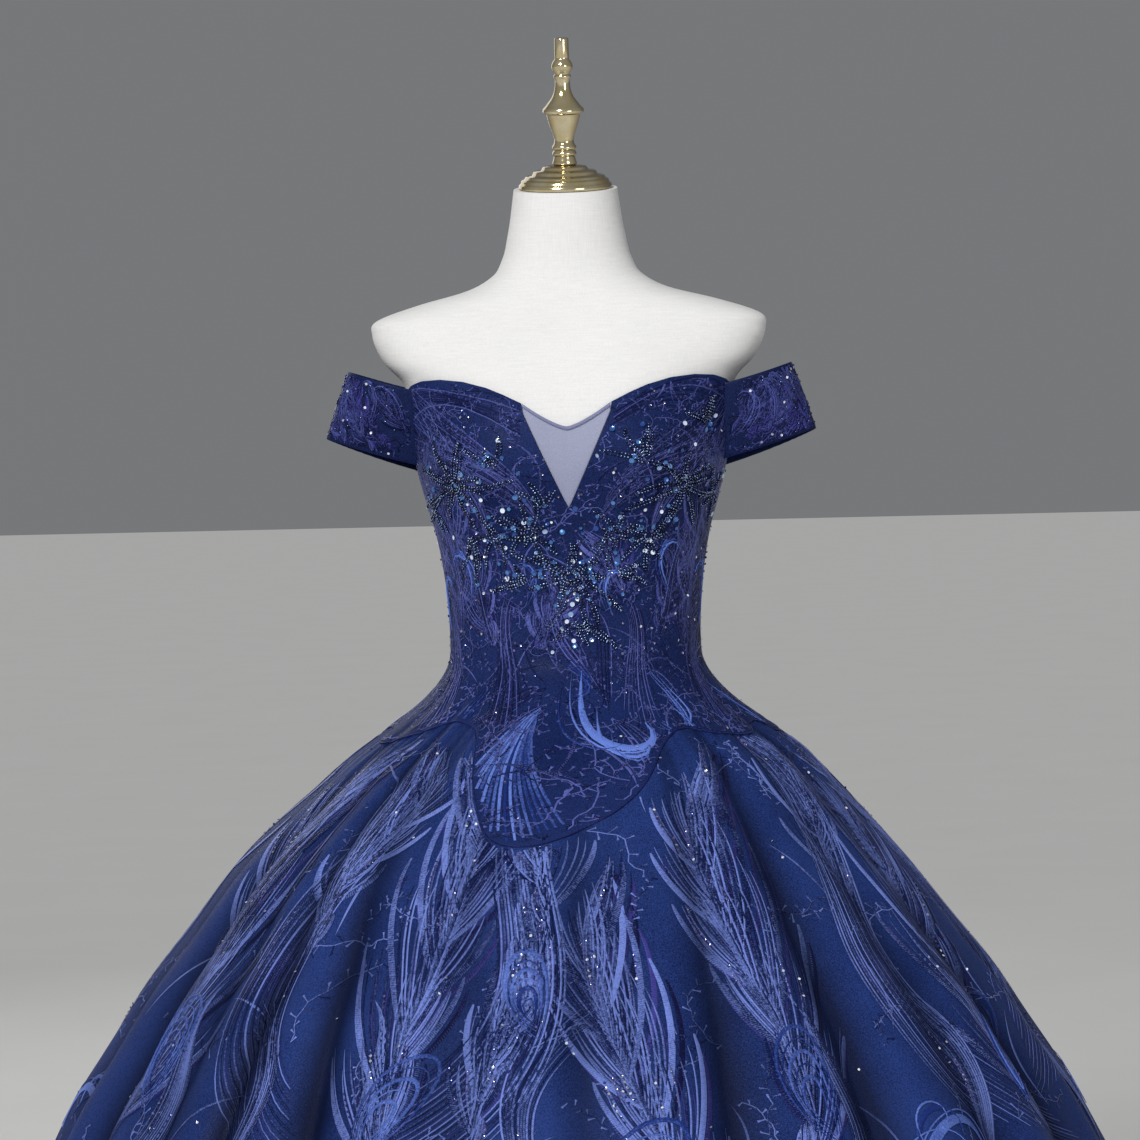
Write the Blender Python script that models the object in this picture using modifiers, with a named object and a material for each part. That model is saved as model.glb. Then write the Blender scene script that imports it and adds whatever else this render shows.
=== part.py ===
"""Full-length off-the-shoulder evening gown on a limbless dress form.

Metres, +Z up, the gown's front faces -Y. The origin is on the floor under the middle of the
stand's base. Left and right are the wearer's, so the wearer's left is +X. Angles run round the
body in degrees: 0 at centre front, positive towards the wearer's left, 180 at centre back.
"""

import math

import bmesh
import bpy
import numpy as np

MM = 0.001

# Walls and clearances.
SKIRT_WALL = 2.0 * MM
BODICE_WALL = 2.5 * MM
BASQUE_WALL = 1.4 * MM
MESH_WALL = 1.2 * MM
SLEEVE_WALL = 2.0 * MM
SEAM_GAP = 0.3 * MM
SLEEVE_GAP = 0.6 * MM
BASQUE_LIFT = 0.5 * MM
BODICE_EASE = 2.0 * MM

# Heights of the waist seam and of the hem.
WAIST_Z = 1.066
HEM_Z = 0.008

# Dress form.
NECK_Z = 1.530
NECK_TILT = math.radians(9.0)
NECK_TILT_FROM_Z = 1.44
SECTION_POWER = 2.2
FORM_BUST_DEPTH = 8 * MM
GOWN_BUST_DEPTH = 11 * MM
BUST_X = 0.078
BUST_Z = 1.262
BUST_WIDTH = 0.046
BUST_HEIGHT = 0.050
FORM_RING_POINTS = 32

# Height, half width, depth to the front, depth to the back of the form's sections.
FORM_SECTIONS = np.array([
    (0.862, 0.1380, 0.0960, 0.1050),
    (0.866, 0.1440, 0.1020, 0.1110),
    (0.900, 0.1550, 0.1110, 0.1220),
    (0.940, 0.1545, 0.1110, 0.1220),
    (0.980, 0.1450, 0.1060, 0.1150),
    (1.020, 0.1310, 0.0980, 0.1030),
    (1.050, 0.1230, 0.0920, 0.0935),
    (1.080, 0.1205, 0.0900, 0.0890),
    (1.110, 0.1212, 0.0910, 0.0880),
    (1.150, 0.1250, 0.0950, 0.0900),
    (1.190, 0.1322, 0.1010, 0.0940),
    (1.225, 0.1420, 0.1080, 0.0980),
    (1.257, 0.1500, 0.1130, 0.1000),
    (1.290, 0.1555, 0.1120, 0.1010),
    (1.320, 0.1600, 0.1070, 0.1010),
    (1.342, 0.1675, 0.0990, 0.0985),
    (1.358, 0.1830, 0.0910, 0.0950),
    (1.373, 0.1915, 0.0830, 0.0910),
    (1.388, 0.1960, 0.0750, 0.0850),
    (1.401, 0.1935, 0.0680, 0.0785),
    (1.417, 0.1500, 0.0600, 0.0700),
    (1.430, 0.1010, 0.0550, 0.0640),
    (1.444, 0.0750, 0.0520, 0.0590),
    (1.460, 0.0650, 0.0505, 0.0560),
    (1.485, 0.0585, 0.0500, 0.0530),
    (1.530, 0.0515, 0.0490, 0.0510),
])

# Angle from centre front, height of the bodice's top edge: the V notch, the cup and the back.
TOP_EDGE = np.array([
    (0.0, 1.2150),
    (13.50, 1.3085),
    (13.65, 1.3170),
    (20.0, 1.3260),
    (26.0, 1.3330),
    (35.0, 1.3395),
    (45.0, 1.3420),
    (56.0, 1.3410),
    (66.0, 1.3370),
    (78.0, 1.3280),
    (90.0, 1.3220),
    (110.0, 1.3180),
    (140.0, 1.3220),
    (165.0, 1.3200),
    (180.0, 1.3170),
])
BODICE_ROWS = 9

# Panel, columns in degrees round the body.
BODICE_PANELS = (
    ("bodice_front", (-26, -20, -13.65, -13.5, -9, -4.5, 0, 4.5, 9, 13.5, 13.65, 20, 26)),
    ("bodice_side_left", (26, 31, 36, 42, 48, 54, 60, 66, 72, 78, 84, 90)),
    ("bodice_side_right", (-90, -84, -78, -72, -66, -60, -54, -48, -42, -36, -31, -26)),
    ("bodice_back_left", (90, 97, 105, 113, 121, 129, 137, 146, 155, 164, 172, 180)),
    ("bodice_back_right", (-180, -172, -164, -155, -146, -137, -129, -121, -113, -105, -97, -90)),
)

# The sheer insert fills the V and dips at centre front. The binding runs along its top.
MESH_HALF_ANGLE = 13.38
MESH_TOP_CENTRE_Z = 1.2902
MESH_TOP_CORNER_Z = 1.3130
MESH_EDGE_RISE = 0.8 * MM
BINDING_HEIGHT = 3.6 * MM
BINDING_WALL = 2.4 * MM
MESH_COLUMNS = 9
MESH_ROWS = 4

# Height, half width, depth to the front, depth to the back of the skirt's crests.
SKIRT_SECTIONS = np.array([
    (1.066, 0.1250, 0.0945, 0.0945),
    (1.052, 0.1285, 0.0985, 0.1000),
    (1.040, 0.1365, 0.1075, 0.1105),
    (1.020, 0.1560, 0.1280, 0.1330),
    (0.998, 0.1860, 0.1590, 0.1670),
    (0.970, 0.2250, 0.1980, 0.2070),
    (0.942, 0.2550, 0.2290, 0.2400),
    (0.915, 0.2830, 0.2570, 0.2690),
    (0.887, 0.3110, 0.2840, 0.2980),
    (0.859, 0.3360, 0.3080, 0.3240),
    (0.803, 0.3800, 0.3520, 0.3700),
    (0.748, 0.4240, 0.3950, 0.4150),
    (0.692, 0.4610, 0.4330, 0.4540),
    (0.637, 0.4970, 0.4690, 0.4910),
    (0.583, 0.5260, 0.4990, 0.5220),
    (0.500, 0.5680, 0.5420, 0.5660),
    (0.400, 0.6150, 0.5900, 0.6150),
    (0.300, 0.6560, 0.6320, 0.6580),
    (0.200, 0.6920, 0.6690, 0.6960),
    (0.100, 0.7230, 0.7010, 0.7280),
    (0.008, 0.7480, 0.7270, 0.7540),
])
SKIRT_POWER_HEM = 2.0
SKIRT_SWAY = -12 * MM
SWAY_FROM_Z = 0.99
SWAY_TO_Z = 0.86

# Fold valleys: angle at the waist, angle at the hem, depth at the hem in millimetres.
FOLD_VALLEYS = np.array([
    (-180, -180, 20),
    (-162, -164, 30),
    (-145, -148, 36),
    (-127, -131, 28),
    (-111, -114, 34),
    (-96, -97, 28),
    (-80, -79, 24),
    (-66, -62, 30),
    (-54, -47, 22),
    (-46, -36, 34),
    (-38, -18, 26),
    (-14, -6, 14),
    (3, 4, 16),
    (25, 13, 28),
    (38, 36, 34),
    (53, 55, 24),
    (68, 72, 30),
    (84, 88, 24),
    (100, 104, 30),
    (117, 120, 28),
    (133, 136, 36),
    (149, 151, 30),
    (165, 166, 26),
    (180, 180, 20),
])
FOLD_COLUMNS = (0.0, 0.09, 0.26, 0.5, 0.74, 0.91)
FOLD_CREST_POWER = 0.7
FOLD_GROWTH_POWER = 0.75
FOLD_START_AT = 0.018
FOLD_FULL_AT = 0.62
FOLD_TURN_POWER = 0.8
BASQUE_ROWS = 4
SKIRT_LOWER_ROWS = (0.07, 0.15, 0.26, 0.40, 0.57, 0.78, 1.0)

# Panel, first valley, last valley.
SKIRT_GORES = (
    ("skirt_back_right", 0, 4),
    ("skirt_side_right", 4, 9),
    ("skirt_front", 9, 14),
    ("skirt_side_left", 14, 19),
    ("skirt_back_left", 19, 23),
)
BASQUE_PANELS = (
    ("basque_right", 0, 9),
    ("basque_front", 9, 14),
    ("basque_left", 14, 23),
)

# Angle at the waist, height of the scalloped lower edge of the bodice lace.
BASQUE_EDGE = np.array([
    (-180, 0.948),
    (-168, 0.955),
    (-152, 0.985),
    (-140, 1.000),
    (-126, 0.986),
    (-112, 1.002),
    (-98, 0.985),
    (-84, 0.998),
    (-72, 0.986),
    (-56, 0.996),
    (-38, 1.009),
    (-27, 0.992),
    (-20, 0.950),
    (-14, 0.915),
    (-6, 0.906),
    (4, 0.921),
    (14, 0.948),
    (22, 0.980),
    (30, 0.998),
    (46, 0.994),
    (60, 0.991),
    (74, 1.000),
    (88, 0.986),
    (102, 1.000),
    (118, 0.984),
    (134, 1.000),
    (152, 0.982),
    (168, 0.955),
    (180, 0.948),
])

# Sleeve bands. Front and back ends sit on the bodice, the middle stands off the form's side.
SLEEVE_FRONT_TOP_ANGLE = 66
SLEEVE_FRONT_LOW_ANGLE = 77
SLEEVE_REACH_TOP = 0.2210
SLEEVE_REACH_LOW = 0.2445
SLEEVE_END_TOP_Z = 1.333
SLEEVE_MIDDLE_TOP_Z = 1.353
SLEEVE_END_LOW_Z = 1.258
SLEEVE_MIDDLE_LOW_Z = 1.290
SLEEVE_BACK_DROP = 8 * MM
SLEEVE_BULGE = 1.25
SLEEVE_COLUMNS = 20
SLEEVE_ROWS = 4

# Radius, height above the neck's tilted top face, in millimetres.
CAP_PROFILE = (
    (0, 0.3), (45.5, 0.3), (46.5, 2), (46, 5), (44, 6.5), (43.4, 9.5), (40, 10.5), (39.4, 13),
    (32, 14.5), (31.2, 18), (22.8, 19), (22, 22), (14, 23.5), (0, 23.5),
)
FINIAL_PROFILE = (
    (0, 23.8), (11.6, 23.8), (12.2, 26), (10.6, 32), (11.8, 34), (11.8, 36), (10.6, 38),
    (11.8, 40), (11.8, 42), (10.4, 44), (9.6, 48.5), (12, 57), (15.2, 67), (16.6, 73.5),
    (20, 74.5), (20.4, 77), (19.6, 79.5), (18.2, 81), (13, 87.5), (9, 94.5), (7.8, 100),
    (7.4, 108), (8.8, 110), (8.6, 112), (7, 113), (9.6, 116.5), (10.6, 120.5), (9.6, 124.5),
    (7.2, 127.5), (7, 129), (7, 147.2), (6, 148.4), (0, 148.4),
)
CAP_STEPS = 28
FINIAL_STEPS = 18

# Stand. Radius, height, in millimetres.
POLE_RADIUS = 13 * MM
POLE_STEPS = 20
FORM_BOTTOM_Z = 0.862
BASE_PROFILE = (
    (0, 0), (160, 0), (162, 2), (162, 8), (158, 12), (120, 15), (40, 19), (28, 24), (24, 34),
    (20, 38), (0, 38),
)
BASE_STEPS = 30
BASE_TOP_Z = 38 * MM

# Zip slider and its pull tab, in millimetres, about the hinge axis.
ZIP_Z = 1.296
ZIP_OUT = 4.1 * MM
SLIDER_PLATE = (6.0, 1.4, 10.0)
SLIDER_PLATE_Y = -2.9
SLIDER_POST = (1.2, 3.5, 2.4)
SLIDER_POST_X = 2.2
SLIDER_POST_Y = -0.85
BAR_RADIUS = 0.6
BAR_LENGTH = 4.4
EYE_OUTER = 1.7
EYE_INNER = 1.0
EYE_WIDTH = 2.2
TAB_THICKNESS = 1.2
TAB_OUTLINE = (
    (-1.1, -1.2), (-1.3, -4.0), (-2.4, -9.0), (-3.2, -13.0), (-2.8, -15.6), (-1.4, -17.0),
    (1.4, -17.0), (2.8, -15.6), (3.2, -13.0), (2.4, -9.0), (1.3, -4.0), (1.1, -1.2),
)
ROUND_STEPS = 20

# Material, colour, roughness, metallic.
MATERIALS = {
    "bodice_satin": ((0.025, 0.040, 0.140), 0.45, 0.0),
    "skirt_satin": ((0.030, 0.048, 0.160), 0.45, 0.0),
    "lace": ((0.022, 0.034, 0.120), 0.60, 0.0),
    "illusion_mesh": ((0.520, 0.500, 0.620), 0.70, 0.0),
    "linen": ((0.780, 0.750, 0.690), 0.90, 0.0),
    "polished_gold": ((0.830, 0.690, 0.430), 0.20, 1.0),
    "dark_steel": ((0.060, 0.060, 0.065), 0.40, 1.0),
    "zip_metal": ((0.030, 0.040, 0.100), 0.35, 1.0),
}


def clear_scene():
    """Removes every object of the startup scene."""
    for obj in list(bpy.data.objects):
        bpy.data.objects.remove(obj)


def new_collection(name, hidden):
    """A collection linked to the scene."""
    collection = bpy.data.collections.new(name)
    collection.hide_render = hidden
    bpy.context.scene.collection.children.link(collection)
    return collection


def material(name):
    """The named material, made at its first use."""
    found = bpy.data.materials.get(name)
    if found:
        return found
    colour, roughness, metallic = MATERIALS[name]
    made = bpy.data.materials.new(name)
    made.use_nodes = True
    shader = made.node_tree.nodes["Principled BSDF"]
    shader.inputs["Base Color"].default_value = (*colour, 1.0)
    shader.inputs["Roughness"].default_value = roughness
    shader.inputs["Metallic"].default_value = metallic
    made.diffuse_color = (*colour, 1.0)
    return made


def add_mesh(name, points, faces, slot, collection):
    """A mesh object with all faces turned outwards."""
    mesh = bpy.data.meshes.new(name)
    mesh.from_pydata([tuple(map(float, point)) for point in points], [], faces)
    work = bmesh.new()
    work.from_mesh(mesh)
    bmesh.ops.recalc_face_normals(work, faces=work.faces)
    work.to_mesh(mesh)
    work.free()
    obj = bpy.data.objects.new(name, mesh)
    obj.data.materials.append(material(slot))
    collection.objects.link(obj)
    return obj


def smooth(at, keys, values):
    """Cubic curve through a table's rows, for any order of keys."""
    order = np.argsort(keys)
    keys = np.asarray(keys, float)[order]
    values = np.asarray(values, float)[order]
    slopes = np.gradient(values, keys)
    at = np.clip(at, keys[0], keys[-1])
    low = np.clip(np.searchsorted(keys, at) - 1, 0, len(keys) - 2)
    span = keys[low + 1] - keys[low]
    t = (at - keys[low]) / span
    start = (2 * t**3 - 3 * t**2 + 1) * values[low] + (t**3 - 2 * t**2 + t) * span * slopes[low]
    end = (3 * t**2 - 2 * t**3) * values[low + 1] + (t**3 - t**2) * span * slopes[low + 1]
    return start + end


def rounded(angle, half, front, back, power):
    """Point of a rounded section at an angle, as x and y, and its outward direction."""
    turn = np.radians(angle)
    across = np.sin(turn)
    ahead = np.cos(turn)
    depth = np.where(ahead > 0, front, back)
    x = half * np.sign(across) * np.abs(across) ** (2 / power)
    y = -depth * np.sign(ahead) * np.abs(ahead) ** (2 / power)
    out_x = np.sign(across) * np.abs(across) ** (2 - 2 / power) / half
    out_y = -np.sign(ahead) * np.abs(ahead) ** (2 - 2 / power) / depth
    length = np.hypot(out_x, out_y)
    return x, y, out_x / length, out_y / length


def body(angle, z, offset):
    """Point of the form's surface, or with an offset of the bodice over it, whose cups stand off."""
    angle, z = np.broadcast_arrays(np.asarray(angle, float), np.asarray(z, float))
    sizes = [smooth(z, FORM_SECTIONS[:, 0], FORM_SECTIONS[:, k]) for k in (1, 2, 3)]
    x, y, out_x, out_y = rounded(angle, *sizes, SECTION_POWER)
    mound = np.exp(-(((np.abs(x) - BUST_X) / BUST_WIDTH) ** 2) - ((z - BUST_Z) / BUST_HEIGHT) ** 2)
    ahead = np.clip(np.cos(np.radians(angle)) * 3, 0, 1)
    bust = GOWN_BUST_DEPTH if offset > 0 else FORM_BUST_DEPTH
    y = y - bust * mound * ahead
    rise = np.clip((z - NECK_TILT_FROM_Z) / (NECK_Z - NECK_TILT_FROM_Z), 0, 1)
    lift = y * math.tan(NECK_TILT) * rise
    return np.stack([x + offset * out_x, y + offset * out_y, z + lift], axis=-1)


def sheet(name, outer, inner, slot, collection):
    """Closed wall between two grids of points. Both are split along the same diagonals."""
    rows, columns = outer.shape[:2]
    index = np.arange(rows * columns).reshape(rows, columns)
    behind = index + rows * columns
    faces = []
    for grid in (index, behind):
        a, b, c, d = grid[:-1, :-1], grid[:-1, 1:], grid[1:, 1:], grid[1:, :-1]
        faces.append(np.stack([a, b, c], axis=-1).reshape(-1, 3))
        faces.append(np.stack([a, c, d], axis=-1).reshape(-1, 3))
    for line, back in ((index[0], behind[0]), (index[-1], behind[-1]),
                       (index[:, 0], behind[:, 0]), (index[:, -1], behind[:, -1])):
        faces.append(np.stack([line[1:], line[:-1], back[:-1]], axis=-1))
        faces.append(np.stack([line[1:], back[:-1], back[1:]], axis=-1))
    faces = np.concatenate(faces).tolist()
    points = np.concatenate([outer.reshape(-1, 3), inner.reshape(-1, 3)])
    return add_mesh(name, points, faces, slot, collection)


def loft(name, rings, slot, collection):
    """Closed body through rings of points, with flat ends."""
    count = rings.shape[1]
    faces = []
    for ring in range(len(rings) - 1):
        for i in range(count):
            j = (i + 1) % count
            faces.append((ring * count + i, ring * count + j,
                          (ring + 1) * count + j, (ring + 1) * count + i))
    faces.append(tuple(range(count)))
    faces.append(tuple(range((len(rings) - 1) * count, len(rings) * count)))
    return add_mesh(name, rings.reshape(-1, 3), faces, slot, collection)


def turned(name, profile, steps, slot, collection):
    """Round body from a profile of radius and height in millimetres, by a Screw modifier."""
    mesh = bpy.data.meshes.new(name)
    points = [(radius * MM, 0, height * MM) for radius, height in profile]
    edges = [(i, i + 1) for i in range(len(profile) - 1)]
    mesh.from_pydata(points, edges, [])
    obj = bpy.data.objects.new(name, mesh)
    obj.data.materials.append(material(slot))
    collection.objects.link(obj)
    screw = obj.modifiers.new("round", "SCREW")
    screw.axis = "Z"
    screw.steps = steps
    screw.render_steps = steps
    screw.use_merge_vertices = True
    screw.merge_threshold = 0.00001
    screw.use_normal_flip = True
    return obj


def box(name, size, centre, slot, collection):
    """Box of a size about a centre, both in millimetres."""
    signs = [(i, j, k) for i in (-1, 1) for j in (-1, 1) for k in (-1, 1)]
    points = [[MM * (centre[n] + sign[n] * size[n] / 2) for n in range(3)] for sign in signs]
    faces = [(0, 1, 3, 2), (4, 6, 7, 5), (0, 4, 5, 1), (2, 3, 7, 6), (0, 2, 6, 4), (1, 5, 7, 3)]
    return add_mesh(name, points, faces, slot, collection)


def rod_along_x(name, radius, length, slot, collection):
    """Round rod along X about the origin, in millimetres."""
    turn = np.linspace(0, 2 * np.pi, ROUND_STEPS, endpoint=False)
    rings = [np.stack([np.full_like(turn, x), radius * np.cos(turn), radius * np.sin(turn)], axis=-1)
             for x in (-length / 2, length / 2)]
    return loft(name, np.array(rings) * MM, slot, collection)


def combine(target, other, operation):
    """Boolean of one object with another."""
    step = target.modifiers.new(other.name, "BOOLEAN")
    step.operation = operation
    step.solver = "EXACT"
    step.object = other


def build_form(collection):
    """The torso, a smooth closed body in a linen cover."""
    heights = FORM_SECTIONS[:, 0]
    angles = np.linspace(-180, 180, FORM_RING_POINTS, endpoint=False)
    rings = np.array([body(angles, z, 0.0) for z in heights])
    loft("form_torso", rings, "linen", collection)
    for name, profile, steps in (("neck_cap", CAP_PROFILE, CAP_STEPS),
                                 ("finial", FINIAL_PROFILE, FINIAL_STEPS)):
        obj = turned(name, profile, steps, "polished_gold", collection)
        obj.location = (0, 0, NECK_Z)
        obj.rotation_euler = (NECK_TILT, 0, 0)


def build_stand(collection):
    """The pole under the form and the round base on the floor."""
    low = (BASE_TOP_Z + SEAM_GAP) / MM
    high = (FORM_BOTTOM_Z - SEAM_GAP) / MM
    radius = POLE_RADIUS / MM
    pole = ((0, low), (radius, low), (radius, high), (0, high))
    turned("stand_pole", pole, POLE_STEPS, "dark_steel", collection)
    turned("stand_base", BASE_PROFILE, BASE_STEPS, "dark_steel", collection)


def build_bodice(collection):
    """Five panels over the form, with a V notch at centre front."""
    for name, columns in BODICE_PANELS:
        angles = np.array(columns, float)
        tops = np.interp(np.abs(angles), TOP_EDGE[:, 0], TOP_EDGE[:, 1])
        share = np.linspace(0, 1, BODICE_ROWS + 1)[:, None]
        z = WAIST_Z + (tops - WAIST_Z) * share
        turn = np.broadcast_to(angles, z.shape).copy()
        radius = smooth(z[:, 0], FORM_SECTIONS[:, 0], FORM_SECTIONS[:, 2])
        turn[:, 0] += np.degrees(SEAM_GAP / 2 / radius)
        turn[:, -1] -= np.degrees(SEAM_GAP / 2 / radius)
        outer = body(turn, z, BODICE_EASE + BODICE_WALL)
        inner = body(turn, z, BODICE_EASE)
        sheet(name, outer, inner, "bodice_satin", collection)


def mesh_top(angles):
    """Height of the insert's top edge, a dip between the two cups."""
    across = np.abs(angles) / MESH_HALF_ANGLE
    return MESH_TOP_CENTRE_Z + (MESH_TOP_CORNER_Z - MESH_TOP_CENTRE_Z) * across**1.7


def build_insert(collection):
    """The sheer insert in the V and the binding on its top edge."""
    angles = np.linspace(-MESH_HALF_ANGLE, MESH_HALF_ANGLE, MESH_COLUMNS)
    top = mesh_top(angles)
    low = np.interp(np.abs(angles), TOP_EDGE[:, 0], TOP_EDGE[:, 1]) + MESH_EDGE_RISE
    share = np.linspace(0, 1, MESH_ROWS + 1)[:, None]
    z = low + (top - low) * share
    outer = body(angles, z, BODICE_EASE + MESH_WALL)
    inner = body(angles, z, BODICE_EASE)
    sheet("mesh_insert", outer, inner, "illusion_mesh", collection)
    z = np.stack([top + SEAM_GAP, top + SEAM_GAP + BINDING_HEIGHT])
    outer = body(angles, z, BODICE_EASE + BINDING_WALL)
    inner = body(angles, z, BODICE_EASE)
    sheet("mesh_binding", outer, inner, "illusion_mesh", collection)


def sleeve_wall(inward, side):
    """Grid of a sleeve band's surface, moved in by a wall. It runs front to back, top to bottom."""
    down = np.linspace(0, 1, SLEEVE_ROWS + 1)[:, None]
    along = np.linspace(0, 1, SLEEVE_COLUMNS + 1)[None, :]
    end_z = SLEEVE_END_TOP_Z + (SLEEVE_END_LOW_Z - SLEEVE_END_TOP_Z) * down
    angle = SLEEVE_FRONT_TOP_ANGLE + (SLEEVE_FRONT_LOW_ANGLE - SLEEVE_FRONT_TOP_ANGLE) * down
    ends = []
    for turn, drop in ((angle, 0.0), (180 - angle, SLEEVE_BACK_DROP)):
        toward = np.sign(90 - turn) * np.degrees(inward / 0.10)
        offset = BODICE_EASE + BODICE_WALL + SLEEVE_GAP
        ends.append(body(turn + toward, end_z - drop * down, offset))
    start, finish = ends
    reach = SLEEVE_REACH_TOP + (SLEEVE_REACH_LOW - SLEEVE_REACH_TOP) * down - inward
    control_x = (reach - 0.125 * start[..., 0] - 0.125 * finish[..., 0]) / 0.75
    control_y = (start[..., 1] * SLEEVE_BULGE, finish[..., 1] * SLEEVE_BULGE)
    weights = ((1 - along) ** 3, 3 * along * (1 - along) ** 2, 3 * along**2 * (1 - along), along**3)
    x = (weights[0] * start[..., 0] + (weights[1] + weights[2]) * control_x
         + weights[3] * finish[..., 0])
    y = (weights[0] * start[..., 1] + weights[1] * control_y[0]
         + weights[2] * control_y[1] + weights[3] * finish[..., 1])
    middle = SLEEVE_MIDDLE_TOP_Z + (SLEEVE_MIDDLE_LOW_Z - SLEEVE_MIDDLE_TOP_Z) * down
    ends_z = start[..., 2] + (finish[..., 2] - start[..., 2]) * along
    z = ends_z + (middle - end_z) * np.sin(np.pi * along)
    return np.stack([side * x, y, z], axis=-1)


def build_sleeves(collection):
    """Two off-shoulder bands, each an open loop beside the form."""
    for name, side in (("sleeve_left", 1), ("sleeve_right", -1)):
        sheet(name, sleeve_wall(0.0, side), sleeve_wall(SLEEVE_WALL, side),
              "bodice_satin", collection)


def fold_columns():
    """Every column's two valleys and its share between them, round the skirt."""
    first = []
    share = []
    for valley in range(len(FOLD_VALLEYS) - 1):
        for part in FOLD_COLUMNS:
            first.append(valley)
            share.append(part)
    return np.array(first), np.array(share)


def between(first, share, column):
    """A valley table's column at each share between neighbouring valleys."""
    values = FOLD_VALLEYS[:, column]
    return values[first] * (1 - share) + values[first + 1] * share


def skirt_point(first, share, z, nudge):
    """Point on the skirt's outer face. Crests lie on the sections and valleys are set in."""
    drop = np.clip((WAIST_Z - z) / (WAIST_Z - HEM_Z), 0, 1)
    turned_by = drop**FOLD_TURN_POWER
    angle = between(first, share, 0) * (1 - turned_by) + between(first, share, 1) * turned_by
    sizes = [smooth(z, SKIRT_SECTIONS[:, 0], SKIRT_SECTIONS[:, k]) for k in (1, 2, 3)]
    angle = angle + np.degrees(nudge / sizes[0])
    power = SECTION_POWER + (SKIRT_POWER_HEM - SECTION_POWER) * np.minimum(1, drop * 4)
    x, y, out_x, out_y = rounded(angle, *sizes, power)
    grown = np.clip((drop - FOLD_START_AT) / (FOLD_FULL_AT - FOLD_START_AT), 0, 1)
    growth = grown**FOLD_GROWTH_POWER
    depth = between(first, share, 2) * MM * growth
    set_in = depth * (1 - np.sin(np.pi * share) ** FOLD_CREST_POWER)
    swayed = np.clip((SWAY_FROM_Z - z) / (SWAY_FROM_Z - SWAY_TO_Z), 0, 1)
    x = x + SKIRT_SWAY * (3 * swayed**2 - 2 * swayed**3)
    return np.stack([x - set_in * out_x, y - set_in * out_y, z + 0 * x], axis=-1)


def skirt_rows(first, share):
    """Heights of every column's rows. The upper ones end at the bodice lace's lower edge."""
    angle = between(first, share, 0)
    edge = np.interp(angle, BASQUE_EDGE[:, 0], BASQUE_EDGE[:, 1])
    top = WAIST_Z - SEAM_GAP
    upper = [top + (edge - top) * k / BASQUE_ROWS for k in range(BASQUE_ROWS + 1)]
    lower = [edge + (HEM_Z - edge) * part for part in SKIRT_LOWER_ROWS]
    return np.array(upper + lower)


def skirt_grid():
    """Outer points and outward directions of the whole skirt, with the first column repeated."""
    first, share = fold_columns()
    z = skirt_rows(first, share)
    points = skirt_point(first, share, z, 0.0)
    points = np.concatenate([points, points[:, :1]], axis=1)
    padded = np.concatenate([points[:, -2:-1], points, points[:, 1:2]], axis=1)
    around = padded[:, 2:] - padded[:, :-2]
    down = np.gradient(points, axis=0)
    normal = np.cross(around, down)
    normal[0, :, 2] = 0
    normal /= -np.linalg.norm(normal, axis=-1, keepdims=True)
    outward = np.sum(normal[..., :2] * points[..., :2], axis=-1, keepdims=True)
    return points, normal * np.sign(outward)


def panel_of(points, normal, first_valley, last_valley, rows):
    """One panel's points and directions, its two side edges drawn in by half a seam gap."""
    width = len(FOLD_COLUMNS)
    span = slice(first_valley * width, last_valley * width + 1)
    part = points[rows, span].copy()
    out = normal[rows, span]
    for edge, inside in ((0, 1), (-1, -2)):
        toward = part[:, inside] - part[:, edge]
        toward[:, 2] = 0
        toward /= np.linalg.norm(toward, axis=-1, keepdims=True)
        part[:, edge] += toward * SEAM_GAP
    return part, out


def build_skirt(collection):
    """Five gores, and over them the scalloped lower edge of the bodice lace."""
    points, normal = skirt_grid()
    for name, first_valley, last_valley in SKIRT_GORES:
        part, out = panel_of(points, normal, first_valley, last_valley, slice(None))
        sheet(name, part, part - out * SKIRT_WALL, "skirt_satin", collection)
    for name, first_valley, last_valley in BASQUE_PANELS:
        part, out = panel_of(points, normal, first_valley, last_valley, slice(BASQUE_ROWS + 1))
        inner = part + out * BASQUE_LIFT
        outer = part + out * (BASQUE_LIFT + BASQUE_WALL)
        sheet(name, outer, inner, "lace", collection)


def build_zip(collection, helpers):
    """Slider of the centre back zip and the pull tab that hangs from its bar."""
    back = body(180.0, ZIP_Z, BODICE_EASE + BODICE_WALL)
    centre = (0, float(back[1]) + ZIP_OUT, ZIP_Z)
    slider = box("zip_slider", SLIDER_PLATE, (0, SLIDER_PLATE_Y, 0), "zip_metal", collection)
    for side in (-1, 1):
        post = box("slider_post", SLIDER_POST, (side * SLIDER_POST_X, SLIDER_POST_Y, 0),
                   "zip_metal", helpers)
        combine(slider, post, "UNION")
        post.location = centre
    bar = rod_along_x("slider_bar", BAR_RADIUS, BAR_LENGTH, "zip_metal", helpers)
    combine(slider, bar, "UNION")
    bar.location = centre
    slider.location = centre
    pull = rod_along_x("zip_pull", EYE_OUTER, EYE_WIDTH, "zip_metal", collection)
    half = TAB_THICKNESS / 2
    rings = [[(x, y, z) for x, z in TAB_OUTLINE] for y in (-half, half)]
    tab = loft("pull_tab", np.array(rings) * MM, "zip_metal", helpers)
    hole = rod_along_x("pull_hole", EYE_INNER, EYE_WIDTH * 2, "zip_metal", helpers)
    combine(pull, tab, "UNION")
    combine(pull, hole, "DIFFERENCE")
    for obj in (pull, tab, hole):
        obj.location = centre


def main():
    clear_scene()
    gown = new_collection("evening_gown_on_dress_form", False)
    helpers = new_collection("cutters", True)
    build_form(gown)
    build_stand(gown)
    build_bodice(gown)
    build_insert(gown)
    build_sleeves(gown)
    build_skirt(gown)
    build_zip(gown, helpers)
    for obj in helpers.objects:
        obj.hide_render = True
        obj.display_type = "WIRE"


main()
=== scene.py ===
import math

import bpy
import numpy as np
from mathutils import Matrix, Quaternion, Vector


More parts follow.
